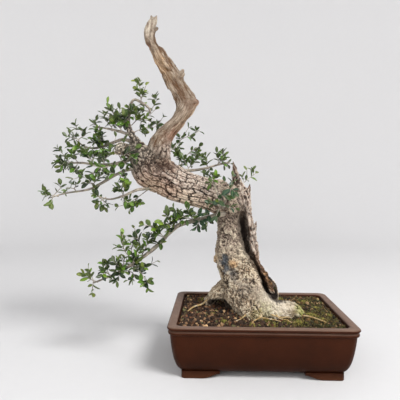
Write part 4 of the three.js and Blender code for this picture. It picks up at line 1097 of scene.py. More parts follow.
SPRAYS = {
    "lower_tip": (12.5, (-272, -46, 138), [
        (8, (-291, -54, 151)), (5, (-288, -40, 160)), (6, (-282, -40, 117)),
    ]),
    "lower_outer_left": (12.5, (-248, -47, 148), [
        (5, (-259, -36, 168)), (5, (-262, -62, 160)),
    ]),
    "lower_outer_right": (12.5, (-229, -47, 159), [
        (6, (-239, -62, 175)), (6, (-236, -54, 142)), (6, (-227, -34, 176)),
        (7, (-213, -50, 156), (-207, -56, 149), (-219, -58, 143)), (6, (-226, -64, 166)),
    ]),
    "lower_shoot_left": (12.5, (-209, -45, 168), [
        (10, (-223, -60, 196), (-225, -64, 222)), (5, (-217, -34, 202)),
    ]),
    "lower_shoot_middle": (13.5, (-196, -45, 179), [
        (9, (-201, -36, 202), (-212, -30, 229)), (7, (-181, -58, 211)),
    ]),
    "lower_shoot_down": (13.5, (-214, -46, 165), [
        (7, (-193, -30, 162), (-174, -18, 169)), (8, (-193, -64, 156), (-182, -68, 134)),
        (8, (-207, -62, 178), (-196, -66, 190)),
    ]),
    "lower_middle": (13.5, (-156, -41, 214), [
        (8, (-172, -52, 230), (-191, -56, 235)), (4, (-186, -24, 218)), (3, (-164, -56, 205)),
    ]),
    "lower_inner_a": (15, (-138, -38, 230), [
        (6, (-152, -50, 248)), (4, (-162, -62, 241)), (3, (-146, -64, 234)),
    ]),
    "lower_inner_b": (13.5, (-127, -36, 235), [
        (8, (-145, -22, 260)), (5, (-135, -60, 247)),
    ]),
    "lower_inner_c": (13.5, (-110, -34, 241), [
        (7, (-121, -50, 264)), (4, (-128, -62, 250)),
    ]),
    "lower_inner_d": (13.5, (-95, -33, 244), [
        (5, (-107, -56, 257)), (7, (-106, -46, 228)), (4, (-93, -16, 251)),
    ]),
    "lower_inner_e": (13.5, (-81, -29, 248), [
        (5, (-91, -58, 257)), (6, (-89, -48, 233)),
    ]),
    "left_low_tip": (12.5, (-342, -35, 281), [
        (7, (-363, -40, 283)), (4, (-347, -50, 270)), (4, (-340, -22, 295)),
    ]),
    "left_low_outer": (11.5, (-310, -33, 289), [
        (4, (-305, -44, 302)), (3, (-328, -26, 296)),
    ]),
    "left_low_middle": (12.5, (-282, -30, 297), [
        (4, (-287, -42, 310)), (6, (-266, -38, 317)),
    ]),
    "left_low_inner": (13.5, (-241, -21, 319), [
        (5, (-256, -38, 322)), (5, (-221, -36, 310)),
    ]),
    "left_middle_tip": (12.5, (-334, 18, 340), [
        (9, (-365, 16, 340)), (5, (-357, 30, 327)), (5, (-358, 34, 359)),
    ]),
    "left_middle_outer": (12.5, (-318, 14, 340), [
        (6, (-331, 4, 357)), (5, (-324, -2, 323)),
    ]),
    "left_middle_centre": (13.5, (-295, 9, 338), [
        (7, (-302, -4, 356)), (6, (-291, 22, 356)),
    ]),
    "left_middle_inner": (15, (-272, 4, 336), [
        (7, (-283, 18, 354)), (6, (-256, -16, 357)),
    ]),
    "left_inner": (13.5, (-257, 0, 335), [
        (8, (-274, -22, 324), (-295, -28, 316), (-318, -26, 310)),
        (6, (-264, -34, 329), (-279, -42, 332)),
    ]),
    "left_front": (15, (-240, -4, 346), [
        (6, (-224, -34, 353), (-207, -42, 361)), (5, (-224, -34, 353), (-206, -42, 342)),
        (2, (-228, -36, 372)), (6, (-223, -34, 332)), (3, (-246, -28, 366), (-242, -34, 382)),
    ]),
    "left_upper_tip": (12.5, (-277, 18, 403), [
        (7, (-297, 28, 412)), (6, (-284, 8, 391)),
    ]),
    "left_upper_middle": (12.5, (-260, 13, 399), [
        (6, (-270, 4, 417)), (6, (-257, 32, 420)),
    ]),
    "left_upper_high": (15, (-240, 6, 395), [
        (9, (-249, -4, 417), (-261, -10, 441)), (6, (-245, 10, 437)), (5, (-265, -16, 424)),
    ]),
    "left_back_inner": (12.5, (-284, 34, 372), [
        (7, (-282, 20, 389)), (5, (-281, 52, 364)), (6, (-298, 26, 384)), (6, (-294, 58, 380)),
    ]),
    "left_back_outer": (12.5, (-316, 43, 371), [
        (8, (-344, 36, 372)), (4, (-322, 62, 363)),
    ]),
    "left_back_tip": (12.5, (-330, 46, 380), [
        (8, (-357, 58, 393)), (9, (-315, 40, 397), (-338, 36, 407)),
    ]),
    "top_shoot": (11.5, (-205, -3, 444), [
        (10, (-207, -2, 461), (-206, -5, 481)), (3, (-196, -1, 475)),
    ]),
    "top_inner": (13.5, (-228, 5, 415), [
        (7, (-218, -10, 430)), (7, (-232, -16, 407)),
    ]),
    "top_arch_tip": (12.5, (-190, 1, 430), [
        (7, (-211, 4, 433)),
    ]),
    "top_right": (12.5, (-226, 6, 405), [
        (6, (-213, 14, 418), (-196, 20, 425), (-182, 22, 438)), (5, (-196, 20, 425), (-179, 16, 453)),
        (5, (-213, 14, 418), (-188, 28, 417)),
    ]),
    "top_right_low": (12.5, (-223, 7, 393), [
        (8, (-205, 18, 402), (-184, 28, 407), (-170, 32, 425)), (4, (-205, 18, 402), (-181, 44, 416)),
    ]),
    "elbow_tip": (12.5, (-261, -33, 278), [
        (7, (-279, -28, 285)), (4, (-270, -44, 270)), (4, (-260, -24, 268)),
    ]),
    "elbow_middle": (13.5, (-231, -28, 281), [
        (5, (-243, -20, 300)), (4, (-225, -42, 295)), (4, (-232, -16, 273)),
    ]),
    "elbow_low": (12.5, (-191, -4, 293), [
        (6, (-209, -12, 279), (-224, -15, 269), (-245, -12, 262)),
        (5, (-209, -12, 279), (-222, -22, 257)),
    ]),
    "back_right_inner": (12.5, (-125, 51, 327), [
        (5, (-132, 38, 347)), (8, (-107, 68, 353)),
    ]),
    "back_right_middle": (13.5, (-93, 58, 332), [
        (7, (-92, 50, 357)), (5, (-80, 70, 320)),
    ]),
    "back_right_outer": (12.5, (-71, 60, 339), [
        (7, (-71, 72, 363)), (6, (-56, 52, 357)), (6, (-44, 70, 342)),
    ]),
    "back_upper": (12.5, (-162, 20, 355), [
        (8, (-149, 40, 371), (-137, 50, 387), (-124, 50, 409)), (5, (-137, 50, 387), (-103, 66, 404)),
        (5, (-149, 40, 371), (-141, 56, 369)),
    ]),
    "back_middle": (12.5, (-156, 22, 331), [
        (7, (-136, 44, 341), (-124, 54, 361), (-103, 60, 375)), (6, (-136, 44, 341), (-147, 42, 360)),
        (3, (-124, 54, 361), (-111, 72, 359)),
    ]),
    "front_low": (13.5, (-65, -43, 269), [
        (6, (-83, -58, 272)), (5, (-41, -54, 262)), (4, (-73, -54, 250)),
    ]),
    "front_middle": (15, (-70, -49, 284), [
        (4, (-69, -70, 275)), (5, (-56, -64, 283)),
    ]),
    "front_top": (13.5, (-77, -50, 302), [
        (5, (-83, -40, 303)), (6, (-73, -58, 314)),
    ]),
    "front_right": (13.5, (-60, -33, 266), [
        (6, (-55, -46, 281), (-49, -48, 296), (-59, -54, 307)), (4, (-49, -48, 296), (-43, -56, 290)),
        (4, (-49, -48, 296), (-45, -36, 316)),
    ]),
    "spike_shoot": (12.5, (-33, 12, 299), [
        (3, (-18, 26, 310), (-17, 22, 328)), (3, (-18, 26, 310), (1, 36, 323)),
    ]),
}
YOUNG = {  # how yellow the leaves at a spray's tips are
    "top_shoot": 0.9, "top_arch_tip": 0.6, "lower_tip": 0.7, "left_low_tip": 0.3, "spike_shoot": 0.6,
    "front_top": 0.3, "lower_shoot_left": 0.35, "left_upper_high": 0.4, "top_right": 0.7,
    "back_right_middle": 0.35,
}
COOL = {"front_low", "front_middle", "front_right", "lower_inner_d", "lower_inner_e"}  # bluer leaves
SPARSE = {*COOL, "left_front", "front_top", "lower_tip"}  # no spurs
DENSE = {"left_middle_inner", "top_inner"}  # twice as many spurs
SPUR_LEAVES = 4
STALK_LENGTH = 6
STALK_RADIUS = 1.0
STALK_SUNK = 2.5  # how far inside its branch a stalk starts
TWIG_RADII = (0.85, 0.42)  # at its start and its tip
SPUR_RADII = (0.5, 0.42, 0.34)
SPUR_LENGTHS = (5, 12)
TWIG_SHAKE = (1.6, 0.12)  # how wide and how high a twig's bumps are
LEAF_LIFT = np.array([0.0, -0.25, 0.55])  # leaves turn their faces up and a little to the front
LEAF_THICK, STALK_THICK = 0.17, 0.16  # half a blade's thickness, and how much more there is at its stalk
WOOD_ROOM, LEAF_ROOM = 0.15, 0.2  # the least distance from wood and other leaves, in leaf lengths

# A leaf of length 1: places along it, its half width there, and places across it.
LEAF_STATIONS = (0, 0.05, 0.14, 0.27, 0.42, 0.57, 0.72, 0.85, 0.94, 1)
LEAF_OUTLINE = (0.03, 0.035, 0.13, 0.21, 0.255, 0.265, 0.24, 0.175, 0.09, 0.008)
LEAF_COLUMNS = (-1, -0.6, -0.18, 0, 0.18, 0.6, 1)
# 'old' is near black, partly as painted shade on leaves in shadow; 'bright' is partly painted light, for
# leaves glowing with light that shines through them.
LEAF_GREENS = {
    "old": linear(10, 20, 5),
    "mid": linear(55, 82, 20),
    "blue": linear(28, 48, 36),
    "bright": linear(100, 144, 38),
    "young": linear(150, 162, 62),
    "teal": linear(48, 76, 60),
    "under": linear(86, 101, 56),
    "rib": linear(112, 132, 66),
}


def leaf_shape():
    """The ring of places across a leaf: over the top from rim to rim and back underneath."""
    top = [(across, 1) for across in LEAF_COLUMNS]
    under = [(across, -1) for across in LEAF_COLUMNS[-2:0:-1]]
    ring = np.array(top + under)
    along = np.repeat(LEAF_STATIONS, len(ring))
    half_width = np.repeat(LEAF_OUTLINE, len(ring))
    across, side = np.tile(ring, (len(LEAF_STATIONS), 1)).T
    size = len(ring)
    last = (len(LEAF_STATIONS) - 1) * size
    sides = ring_faces(len(LEAF_STATIONS), size, closed_ends=False)
    faces = [[face[0], *face[:0:-1]] for face in sides]  # turned over: this ring runs clockwise
    faces += [list(range(size)), list(range(last, last + size))[::-1]]
    return along, half_width, across, side, faces


ALONG, HALF_WIDTH, ACROSS, SIDE, LEAF_FACES = leaf_shape()


def shaken(chance):
    """A random step of up to 1 along each axis."""
    return np.array([chance.uniform(-1, 1) for _ in range(3)])


def leaf_points(base, run, across, length, chance):
    """The points of one leaf. chance gives it a width, fold, bend and twist of its own."""
    width = chance.uniform(0.85, 1.1) * length
    fold = chance.uniform(0.12, 0.5)
    bend = chance.uniform(-0.12, 0.5)
    sway = chance.uniform(-0.12, 0.12)
    twist = chance.uniform(-0.5, 0.5)
    y = ACROSS * HALF_WIDTH * width
    thick = np.where(np.abs(ACROSS) == 1, 0, LEAF_THICK + STALK_THICK * (ALONG < 0.1))
    groove = np.where(ACROSS == 0, -0.16 * (SIDE > 0) - 0.1, 0) * ramp(HALF_WIDTH, 0.03, 0.12)
    wave = 0.03 * length * np.sin(ALONG * 9 + 6 * twist) * ACROSS**2 * chance.uniform(0, 1)
    z = fold * np.abs(y) + SIDE * thick + groove + wave
    turn = twist * ALONG
    y, z = y * np.cos(turn) - z * np.sin(turn), y * np.sin(turn) + z * np.cos(turn)
    x = ALONG * length * (1 - 0.15 * bend**2)
    z = z - bend * length * ALONG**2 * 0.5
    y = y + sway * length * ALONG**2
    up = np.cross(run, across)
    return base + x[:, None] * run + y[:, None] * across + z[:, None] * up


def greener(colour, name, share):
    """The colour, moved towards one of the leaf greens."""
    return colour + (LEAF_GREENS[name] - colour) * share


def leaf_paint(age, is_cool, chance):
    """The colours of one leaf; age is 0 for a young yellow leaf and 1 for an old dark one."""
    base = greener(LEAF_GREENS["old"], "mid", chance.random() ** 1.3)
    if is_cool and chance.random() < 0.75:
        base = greener(base, "teal", chance.uniform(0.5, 1))
        age = max(age, 0.9)
    elif chance.random() < 0.2:
        base = greener(base, "blue", chance.uniform(0.4, 0.9))
    elif chance.random() < 0.35:
        base = greener(base, "bright", chance.uniform(0.3, 0.9))
    base = greener(base, "young", 1 - age)
    top = np.tile(base, (len(ALONG), 1))
    rib = np.where(ACROSS == 0, 0.5, 0) + 0.25 * (ALONG < 0.1)
    top = mixed(top, LEAF_GREENS["rib"], rib)
    rim = np.where(np.abs(ACROSS) == 1, 0.22, 0)
    top = mixed(top, LEAF_GREENS["rib"], rim)
    under = LEAF_GREENS["under"] * (0.75 + 0.5 * age * chance.random() + 0.2 * (1 - age))
    return np.where((SIDE < 0)[:, None], under, top)


def fork_of(root, twigs):
    """Where a spray's twigs part: a little way out of the branch, on the side that most take."""
    start = np.array(root, float)
    toward = sum(unit(np.array(route[0]) - start) for _, *route in twigs)
    toward[1] *= 2
    if np.linalg.norm(toward) < 0.7:
        toward[1] = 1 if toward[1] > 0 else -1
    return start + STALK_LENGTH * unit(toward)


def twig_leaves(course, count, length, young, chance):
    """Places of a twig's leaves, in opposite pairs that each stand a quarter turn from the last."""
    pairs = (count + 1) // 2
    first_turn = chance.uniform(0, math.pi)
    leaves = []
    for index in range(count):
        pair = index // 2
        share = (pair + 0.95) / pairs if pairs > 1 else 0.97
        share = min(1.0, max(0.12, share + chance.uniform(-0.05, 0.02)))
        place_on = share * (len(course.centre) - 1)
        low = min(int(place_on), len(course.centre) - 2)
        rest = place_on - low
        base = course.centre[low] * (1 - rest) + course.centre[low + 1] * rest
        run = unit(course.run[low] * (1 - rest) + course.run[low + 1] * rest)
        turn = first_turn + pair * math.pi / 2 + index % 2 * math.pi + chance.uniform(-0.35, 0.35)
        spread = 1.0 - 0.45 * share + chance.uniform(-0.2, 0.25)
        out = math.cos(turn) * course.wide[low] + math.sin(turn) * course.deep[low]
        direction = unit(math.cos(spread) * run + math.sin(spread) * out)
        up = 0.8 * run + LEAF_LIFT + 0.5 * shaken(chance)
        across = unit(np.cross(up, direction))
        at_tip = share > 0.9
        if young:
            age = 1 - young * chance.uniform(0.5, 1) * (1 if at_tip else 0.2 + 0.6 * young**2)
        else:
            age = 1 - chance.uniform(0, 0.35) if at_tip else 1.0
        size = length * chance.uniform(0.75, 1.25) * (0.85 if at_tip and pairs > 1 else 1)
        leaves.append((base, direction, across, size, age))
    return leaves


def spur_course(course, chance):
    """A short side shoot that leaves a twig part of the way along."""
    at = min(int(chance.uniform(0.15, 0.92) * len(course.centre)), len(course.centre) - 1)
    turn = chance.uniform(0, 2 * math.pi)
    out = math.cos(turn) * course.wide[at] + math.sin(turn) * course.deep[at]
    way = unit(out + 0.5 * course.run[at] + np.array([0, 0, 0.35]))
    length = chance.uniform(*SPUR_LENGTHS)
    start = course.centre[at]
    rings = [start, start + 0.5 * length * way + 0.6 * shaken(chance), start + length * way]
    return Course([(*point, radius) for point, radius in zip(rings, SPUR_RADII)], SPUR_STEPS)


def spray_wood(name, leaf_length, root, twigs, chance):
    """The tubes of a spray's stalk, twigs and spurs, and the places of its leaves."""
    fork = fork_of(root, twigs)
    way = unit(fork - np.array(root))
    foot = (*(np.array(root) - STALK_SUNK * way), STALK_RADIUS * 1.15)
    stalk = Course([foot, (*fork, STALK_RADIUS)], SPUR_STEPS)
    tubes, leaves, passed = [stalk.tube(TWIG_SIDES)], [], set()
    young = YOUNG.get(name, 0)
    thick, thin = TWIG_RADII
    for count, *points in twigs:
        route = points if points[0] in passed else [tuple(fork), *points]
        passed.update(points)
        shares = [(i + len(points) + 1 - len(route)) / len(points) for i in range(len(route))]
        rings = [(*point, thick + (thin - thick) * share) for point, share in zip(route, shares)]
        course = Course(rings, BRANCH_STEPS)
        tubes.append(course.tube(TWIG_SIDES))
        leaves += twig_leaves(course, count, leaf_length, young, chance)
        spurs = 0 if name in SPARSE else count * 2 // 3 if name in DENSE else (count + 1) // 3
        for _ in range(spurs):
            spur = spur_course(course, chance)
            tubes.append(spur.tube(SPUR_SIDES))
            leaves += twig_leaves(spur, SPUR_LEAVES, leaf_length, 0.8 * young, chance)
    return tubes, leaves


def add_spray(name, leaf_length, root, twigs, is_free):
    """The twigs and the leaves of one spray, as two pieces."""
    chance = random.Random(name)
    tubes, leaves = spray_wood(name, leaf_length, root, twigs, chance)
    points, faces = joined([tube[:2] for tube in tubes])
    grain = np.vstack([tube[2] for tube in tubes])
    points = warped(points, *TWIG_SHAKE)
    colour = painted(0.6 + 0.5 * waves(points, 5, 2), "brown", "grey", "pale")
    wood = add_mesh(name + "_twigs", points, faces, TWIG, colour, grain)
    finished(wood, "branch_bark", name + "_spray")
    blades, paints = [], []
    for base, direction, across, size, age in leaves:
        if is_free(base + direction * size * 0.6, size):
            blades.append((leaf_points(base, direction, across, size, chance), LEAF_FACES))
            paints.append(leaf_paint(age, name in COOL, chance))
    points, faces = joined(blades)
    leaf_piece = add_mesh(name + "_leaves", points, faces, LEAF, np.vstack(paints))
    finished(leaf_piece, "foliage", name + "_spray")


def room_keeper(trunk):
    """A test for leaves, which stay out of the wood and a little apart, and the wood's tree."""
    polygons = [list(polygon.vertices) for polygon in trunk.data.polygons]
    wood = BVHTree.FromPolygons(points_of(trunk.data).tolist(), polygons)
    taken = []

    def is_free(middle, size):
        place_on_wood, normal, _, distance = wood.find_nearest(Vector(middle))
        in_wood = (Vector(middle) - place_on_wood).dot(normal) < 0
        if in_wood or distance < WOOD_ROOM * size:
            return False
        if taken and np.min(np.linalg.norm(np.array(taken) - middle, axis=1)) < LEAF_ROOM * size:
            return False
        taken.append(middle)
        return True

    return is_free, wood


# ---- Pot: (inset from the rim's outer edge, height), from the wall's foot up and over the rim ----

POT_WIDTH, POT_DEPTH = 296, 226
CORNER = 14
FLOOR_TOP = 17
POT_WALL = [
    (28, 9), (24.4, 9.3), (21.4, 10.4), (17.8, 13), (15, 16.6), (12.8, 21), (11.2, 25.6), (9.6, 31),
    (7.6, 41), (6.2, 50), (5.2, 58), (4.5, 65), (4.1, 70.2), (4.0, 71.2), (2.9, 71.4), (1.9, 72.1),
    (1.4, 73.4), (1.35, 74.8), (1.7, 76.2), (2.5, 77.2), (3.3, 77.6), (3.3, 78.3), (1.9, 78.6),
    (0.8, 79.4), (0, 80.8), (0.1, 82.2), (0.9, 83.3), (2.0, 83.9), (3.4, 84.0), (8, 84.0), (11.4, 83.9),
    (13.0, 83.4), (14.3, 82.4), (15, 81.0), (15.3, 78), (17, 66), (21, 36), (24, FLOOR_TOP),
]
FOOT_HEIGHT = 9
FOOT_OUT = (126, 97)  # the outer faces of the feet, along X and Y
FOOT_ARMS = (60, 45)
FOOT_THICK = 15
FOOT_RISE = (32, 7.5)  # length and height of the curve at the end of each arm
FOOT_SUNK = 3
FOOT_TURN = 5  # the radius of the foot's outer corner
FOOT_STEPS = (0, 0.6, 1.6, 3, 5, 7.5, 10, 13, 16, 19, 22, 25, 28, 30)  # sections along an arm
# Across an arm: the share of the way from its outer face to its inner one, and how far up it is.
FOOT_EDGE = ((0, 1.8), (0.03, 0.7), (0.1, 0), (0.9, 0), (0.97, 0.7), (1, 1.8))
DRAIN_RADIUS, DRAIN_X = 11, 62
DRAIN_CUT = (-10, 30)  # from below the pot to above its floor
SHARP_EDGE = 40  # degrees


def rounded_ring(inset, height, per_corner=10, per_long=26, per_short=20):
    """Points round a rectangle with rounded corners, anticlockwise from the right back corner."""
    radius = max(CORNER - 0.2 * inset, 4)
    x, y = POT_WIDTH / 2 - inset - radius, POT_DEPTH / 2 - inset - radius
    turns = np.linspace(0, math.pi / 2, per_corner)
    corners = [(x, y), (-x, y), (-x, -y), (x, -y)]
    ring = []
    for index, (cx, cy) in enumerate(corners):
        angles = turns + index * math.pi / 2
        arc = np.column_stack([cx + radius * np.cos(angles), cy + radius * np.sin(angles)])
        next_x, next_y = corners[(index + 1) % 4]
        turn = (index + 1) * math.pi / 2
        start = arc[-1]
        end = np.array([next_x + radius * math.cos(turn), next_y + radius * math.sin(turn)])
        count = per_long if index % 2 == 0 else per_short
        shares = np.linspace(0, 1, count + 2)[1:-1, None]
        ring += [arc, start + (end - start) * shares]
    ring = np.vstack(ring)
    return np.column_stack([ring, np.full(len(ring), height)])


def stacked(rings, closed_ends=True):
    """The shape whose skin runs from each ring to the next."""
    return np.vstack(rings), ring_faces(len(rings), len(rings[0]), closed_ends)


def foot_shape(sign_x, sign_y):
    """One L-shaped foot, as sections from its front arm's end, round the corner, to its side arm's."""
    out_x, out_y = FOOT_OUT
    front, side = FOOT_ARMS
    length, height = FOOT_RISE
    sections = []  # (outer point, inner point, distance from the arm's end)
    for step in FOOT_STEPS:
        x = out_x - front + step
        sections.append(((x, out_y), (x, out_y - FOOT_THICK), step))
    for angle in np.linspace(90, 0, 9):
        outer = (
            out_x - FOOT_TURN + FOOT_TURN * math.cos(math.radians(angle)),
            out_y - FOOT_TURN + FOOT_TURN * math.sin(math.radians(angle)),
        )
        sections.append((outer, (out_x - FOOT_THICK, out_y - FOOT_THICK), length))
    for step in FOOT_STEPS[::-1]:
        y = out_y - side + step
        sections.append(((out_x, y), (out_x - FOOT_THICK, y), step))
    rings = []
    for outer, inner, step in sections:
        outer, inner = np.array(outer), np.array(inner)
        rise = 1 - ramp(step, 0, length)
        bottom = height * rise * (0.35 + 0.65 * rise)
        top = FOOT_HEIGHT + FOOT_SUNK
        across = [(0, top), *[(share, bottom + up) for share, up in FOOT_EDGE], (1, top)]
        rings.append([[*(outer + (inner - outer) * share), float(z)] for share, z in across])
    points, faces = stacked(np.array(rings))
    points = points * (sign_x, sign_y, 1)
    if sign_x * sign_y < 0:
        faces = [face[::-1] for face in faces]
    return points, faces


def cylinder_shape(x, radius, low, high, sides=48):
    angle = np.linspace(0, 2 * math.pi, sides, endpoint=False)
    ring = np.column_stack([x + radius * np.cos(angle), radius * np.sin(angle)])
    return stacked([np.column_stack([ring, np.full(sides, z)]) for z in (low, high)])


def outwards(shape):
    """The shape with its faces turned so that they all look outwards."""
    points, faces = shape
    volume = 0
    for face in faces:
        a = points[face[0]]
        for i in range(1, len(face) - 1):
            volume += np.dot(a, np.cross(points[face[i]], points[face[i + 1]]))
    return shape if volume > 0 else (points, [face[::-1] for face in faces])


def combined(piece, other_shapes, operation):
    """The piece with other closed shapes added or cut away."""
    for shape in other_shapes:
        other = add_mesh("other", *outwards(shape))
        modifier = piece.modifiers.new("join", "BOOLEAN")
        modifier.operation = operation
        modifier.solver = "MANIFOLD"
        modifier.object = other
        applied(piece)
        bpy.data.objects.remove(other)


def add_pot():
    """The pot: its wall turned up from the floor and over the rim, its feet and its drain holes."""
    rings = [rounded_ring(inset, height) for inset, height in POT_WALL]
    pot = add_mesh("clay_pot", *outwards(stacked(rings)), CLAY)
    feet = [foot_shape(x, y) for x in (1, -1) for y in (1, -1)]
    combined(pot, feet, "UNION")
    drains = [cylinder_shape(x, DRAIN_RADIUS, *DRAIN_CUT) for x in (-DRAIN_X, DRAIN_X)]
    combined(pot, drains, "DIFFERENCE")
    mesh = pot.data
    points = points_of(mesh)
    uneven = 0.16 * waves(points, 60) + 0.05 * waves(points, 14)
    out = unit(points * (1, 1, 0))
    standing = ramp(points[:, 2], 1, 12)
    points = points - out * (np.abs(uneven) * standing)[:, None]
    mesh.vertices.foreach_set("co", place(points).ravel())
    height = points[:, 2]
    edge = np.maximum(np.abs(points[:, 0]) - POT_WIDTH / 2, np.abs(points[:, 1]) - POT_DEPTH / 2)
    # Pale dust on the rim's top, and a painted highlight along the bead below it.
    level = ramp(height, 82.4, 83.6) * 0.8 + 0.45 * (ramp(height, 75.6, 77) - ramp(height, 77.4, 78.2))
    dust_and_highlight = np.clip(level * (1 + 0.25 * waves(points, 9, 2)), 0, 1) * ramp(edge, -40, -16)
    bare = (1 - ramp(height, 2, 11)) * 0.75
    for name, values in (("dust_and_highlight", dust_and_highlight), ("bare", bare)):
        mesh.attributes.new(name, "FLOAT", "POINT").data.foreach_set("value", values.astype(np.float32))
    mesh.set_sharp_from_angle(angle=math.radians(SHARP_EDGE))
    mesh.update()
    finished(pot, "pot_clay", "pot")


LATTICE_SIDE, LATTICE_BAR, LATTICE_HOLE, LATTICE_THICK = 34, 0.9, 1.94, 1.0
# The sides of one square of the lattice: the step to the next square, and the side's two corners.
SQUARE_SIDES = [
    ((-1, 0), (0, 1), (0, 0)), ((1, 0), (1, 0), (1, 1)), ((0, -1), (0, 0), (1, 0)), ((0, 1), (1, 1), (0, 1)),
]


def add_lattice(name, node):
    """A sheet of crossing plastic bars where its CAD plate lies."""
    low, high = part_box(node)
    corner = (np.array(low) - POT_MIDDLE) / MM
    count = round((LATTICE_SIDE - LATTICE_BAR) / (LATTICE_BAR + LATTICE_HOLE))
    pitch = (LATTICE_SIDE - LATTICE_BAR) / count
    lines = [i * pitch + edge for i in range(count + 1) for edge in (0, LATTICE_BAR)]
    size = len(lines)
    points = [(x, y, z) for z in (0, LATTICE_THICK) for y in lines for x in lines]

    def at(i, j, level):
        return level * size * size + j * size + i

    def solid(i, j):
        inside = 0 <= i < size - 1 and 0 <= j < size - 1
        return inside and (i % 2 == 0 or j % 2 == 0)

    faces = []
    for j in range(size - 1):
        for i in range(size - 1):
            if not solid(i, j):
                continue
            faces.append([at(i, j, 1), at(i + 1, j, 1), at(i + 1, j + 1, 1), at(i, j + 1, 1)])
            faces.append([at(i, j, 0), at(i, j + 1, 0), at(i + 1, j + 1, 0), at(i + 1, j, 0)])
            for (step_i, step_j), *corners in SQUARE_SIDES:
                if not solid(i + step_i, j + step_j):
                    a, b = [(i + corner_i, j + corner_j) for corner_i, corner_j in corners]
                    faces.append([at(*a, 0), at(*b, 0), at(*b, 1), at(*a, 1)])
    piece = add_mesh(name, np.array(points) + corner, faces, PLASTIC, smooth=False)
    finished(piece, "drainage_mesh", node)


# ---- Soil ----

SOIL_PROFILE = [(13.6, 79.5), (36, 83.4), (68, 85.6), (98, 86)]
SOIL_FLOOR = 17.3
BED_CAVITY = [(26.3, SOIL_FLOOR), (21.3, 36), (17.3, 66), (15.6, 77)]  # (inset, height)
BED_INSETS = [15.6, 16.5, 18, *np.arange(20, 112, 2.2)]  # rings of the bed's top
BED_SPACING = (10, 120, 90)  # points round a corner, along a long side and along a short one
BED_SUNK = 2.6  # how far the bed is under the loose grains' mean height
GRAIN_COLOURS = [
    (linear(56, 41, 31), 30), (linear(76, 55, 40), 24), (linear(104, 68, 46), 14), (linear(42, 33, 28), 18),
    (linear(140, 108, 78), 7), (linear(178, 144, 106), 4), (linear(96, 92, 60), 4), (linear(122, 118, 66), 2),
]


def soil_height(x, y):
    """The bed's mean height: a low mound towards the middle."""
    inset = np.minimum(POT_WIDTH / 2 - np.abs(x), POT_DEPTH / 2 - np.abs(y))
    insets, heights = zip(*SOIL_PROFILE)
    return np.interp(inset, insets, heights)


def add_soil_bed():
    """The soil under the loose grains, from the pot's floor up."""
    rings = [rounded_ring(inset, height, *BED_SPACING) for inset, height in BED_CAVITY]
    for inset in BED_INSETS:
        ring = rounded_ring(inset, 0, *BED_SPACING)
        ring[:, 2] = soil_height(ring[:, 0], ring[:, 1]) - BED_SUNK
        rings.append(ring)
    points, faces = stacked(rings)
    top = np.arange(len(points)) >= len(BED_CAVITY) * len(rings[0])
    lumps = 1.1 * waves(points, 7, 2) + 0.6 * waves(points, 2.8)
    inner = ramp(POT_WIDTH / 2 - np.abs(points[:, 0]), 16, 20)
    inner = inner * ramp(POT_DEPTH / 2 - np.abs(points[:, 1]), 16, 20)
    points[:, 2] += np.where(top, lumps * inner, 0)
    tone = 0.5 + 0.6 * waves(points, 4, 2)
    colour = mixed(linear(44, 34, 27), linear(84, 62, 44), tone)
    bed = add_mesh("soil_bed", points, faces, GRAIN, colour)
    finished(bed, "soil", "soil")


def icosphere(subdivisions):
    shape = bmesh.new()
    bmesh.ops.create_icosphere(shape, subdivisions=subdivisions, radius=1)
    points = np.array([vertex.co[:] for vertex in shape.verts])
    faces = [[vertex.index for vertex in face.verts] for face in shape.faces]
    shape.free()
    return points, faces


def random_way(chance):
    return np.array([chance.gauss(0, 1) for _ in range(3)])


def random_turn(chance):
    """A random rotation, as three axes."""
    first = unit(random_way(chance))
    second = unit(np.cross(first, random_way(chance)))
    return np.stack([first, second, np.cross(first, second)])


def out_of_wood(spot, wood):
    """How far a point is outside the wood, less than 0 inside it."""
    on_wood, normal, _, _ = wood.find_nearest(spot)
    return (spot - on_wood).dot(normal)


GRAIN_REACH = (134, 99)  # half the width and depth over which grains lie
GRAIN_SPACING = 3.5
LOOSE_GRAINS = 700
COARSE_SPOT = (-118, -64)  # grains are larger round here
GRAIN_SIZE, LARGEST_GRAIN = 1.8, 4.4  # the usual radius and the largest
COARSE_GRAIN = 2.7  # grains over this radius get more facets
RIM_ROOM = 15.8  # from the pot's outside to the grains


def grain_spots(chance):
    """Where grains may lie: a shaken grid over the bed, and some more anywhere on it."""
    wide, deep = GRAIN_REACH
    spots = []
    for x in np.arange(-wide, wide + 0.1, GRAIN_SPACING):
        for y in np.arange(-deep, deep + 0.1, GRAIN_SPACING):
            spots.append((x + chance.uniform(-1.9, 1.9), y + chance.uniform(-1.9, 1.9)))
    return spots + [(chance.uniform(-wide, wide), chance.uniform(-deep, deep)) for _ in range(LOOSE_GRAINS)]


def broken_grain(points, spot, size, chance):
    """A lumpy ball with three flat broken sides, turned at random."""
    stretch = np.array([chance.uniform(0.75, 1.25) for _ in range(3)]) * (1, 1, 0.85)
    body = points * (1 + 0.42 * waves(points * 1.1 + spot, 1))[:, None] * stretch
    for _ in range(3):
        side = unit(random_way(chance))
        past = np.maximum(body @ side - chance.uniform(0.45, 0.75), 0)
        body = body - past[:, None] * side
    return body @ random_turn(chance) * size + spot


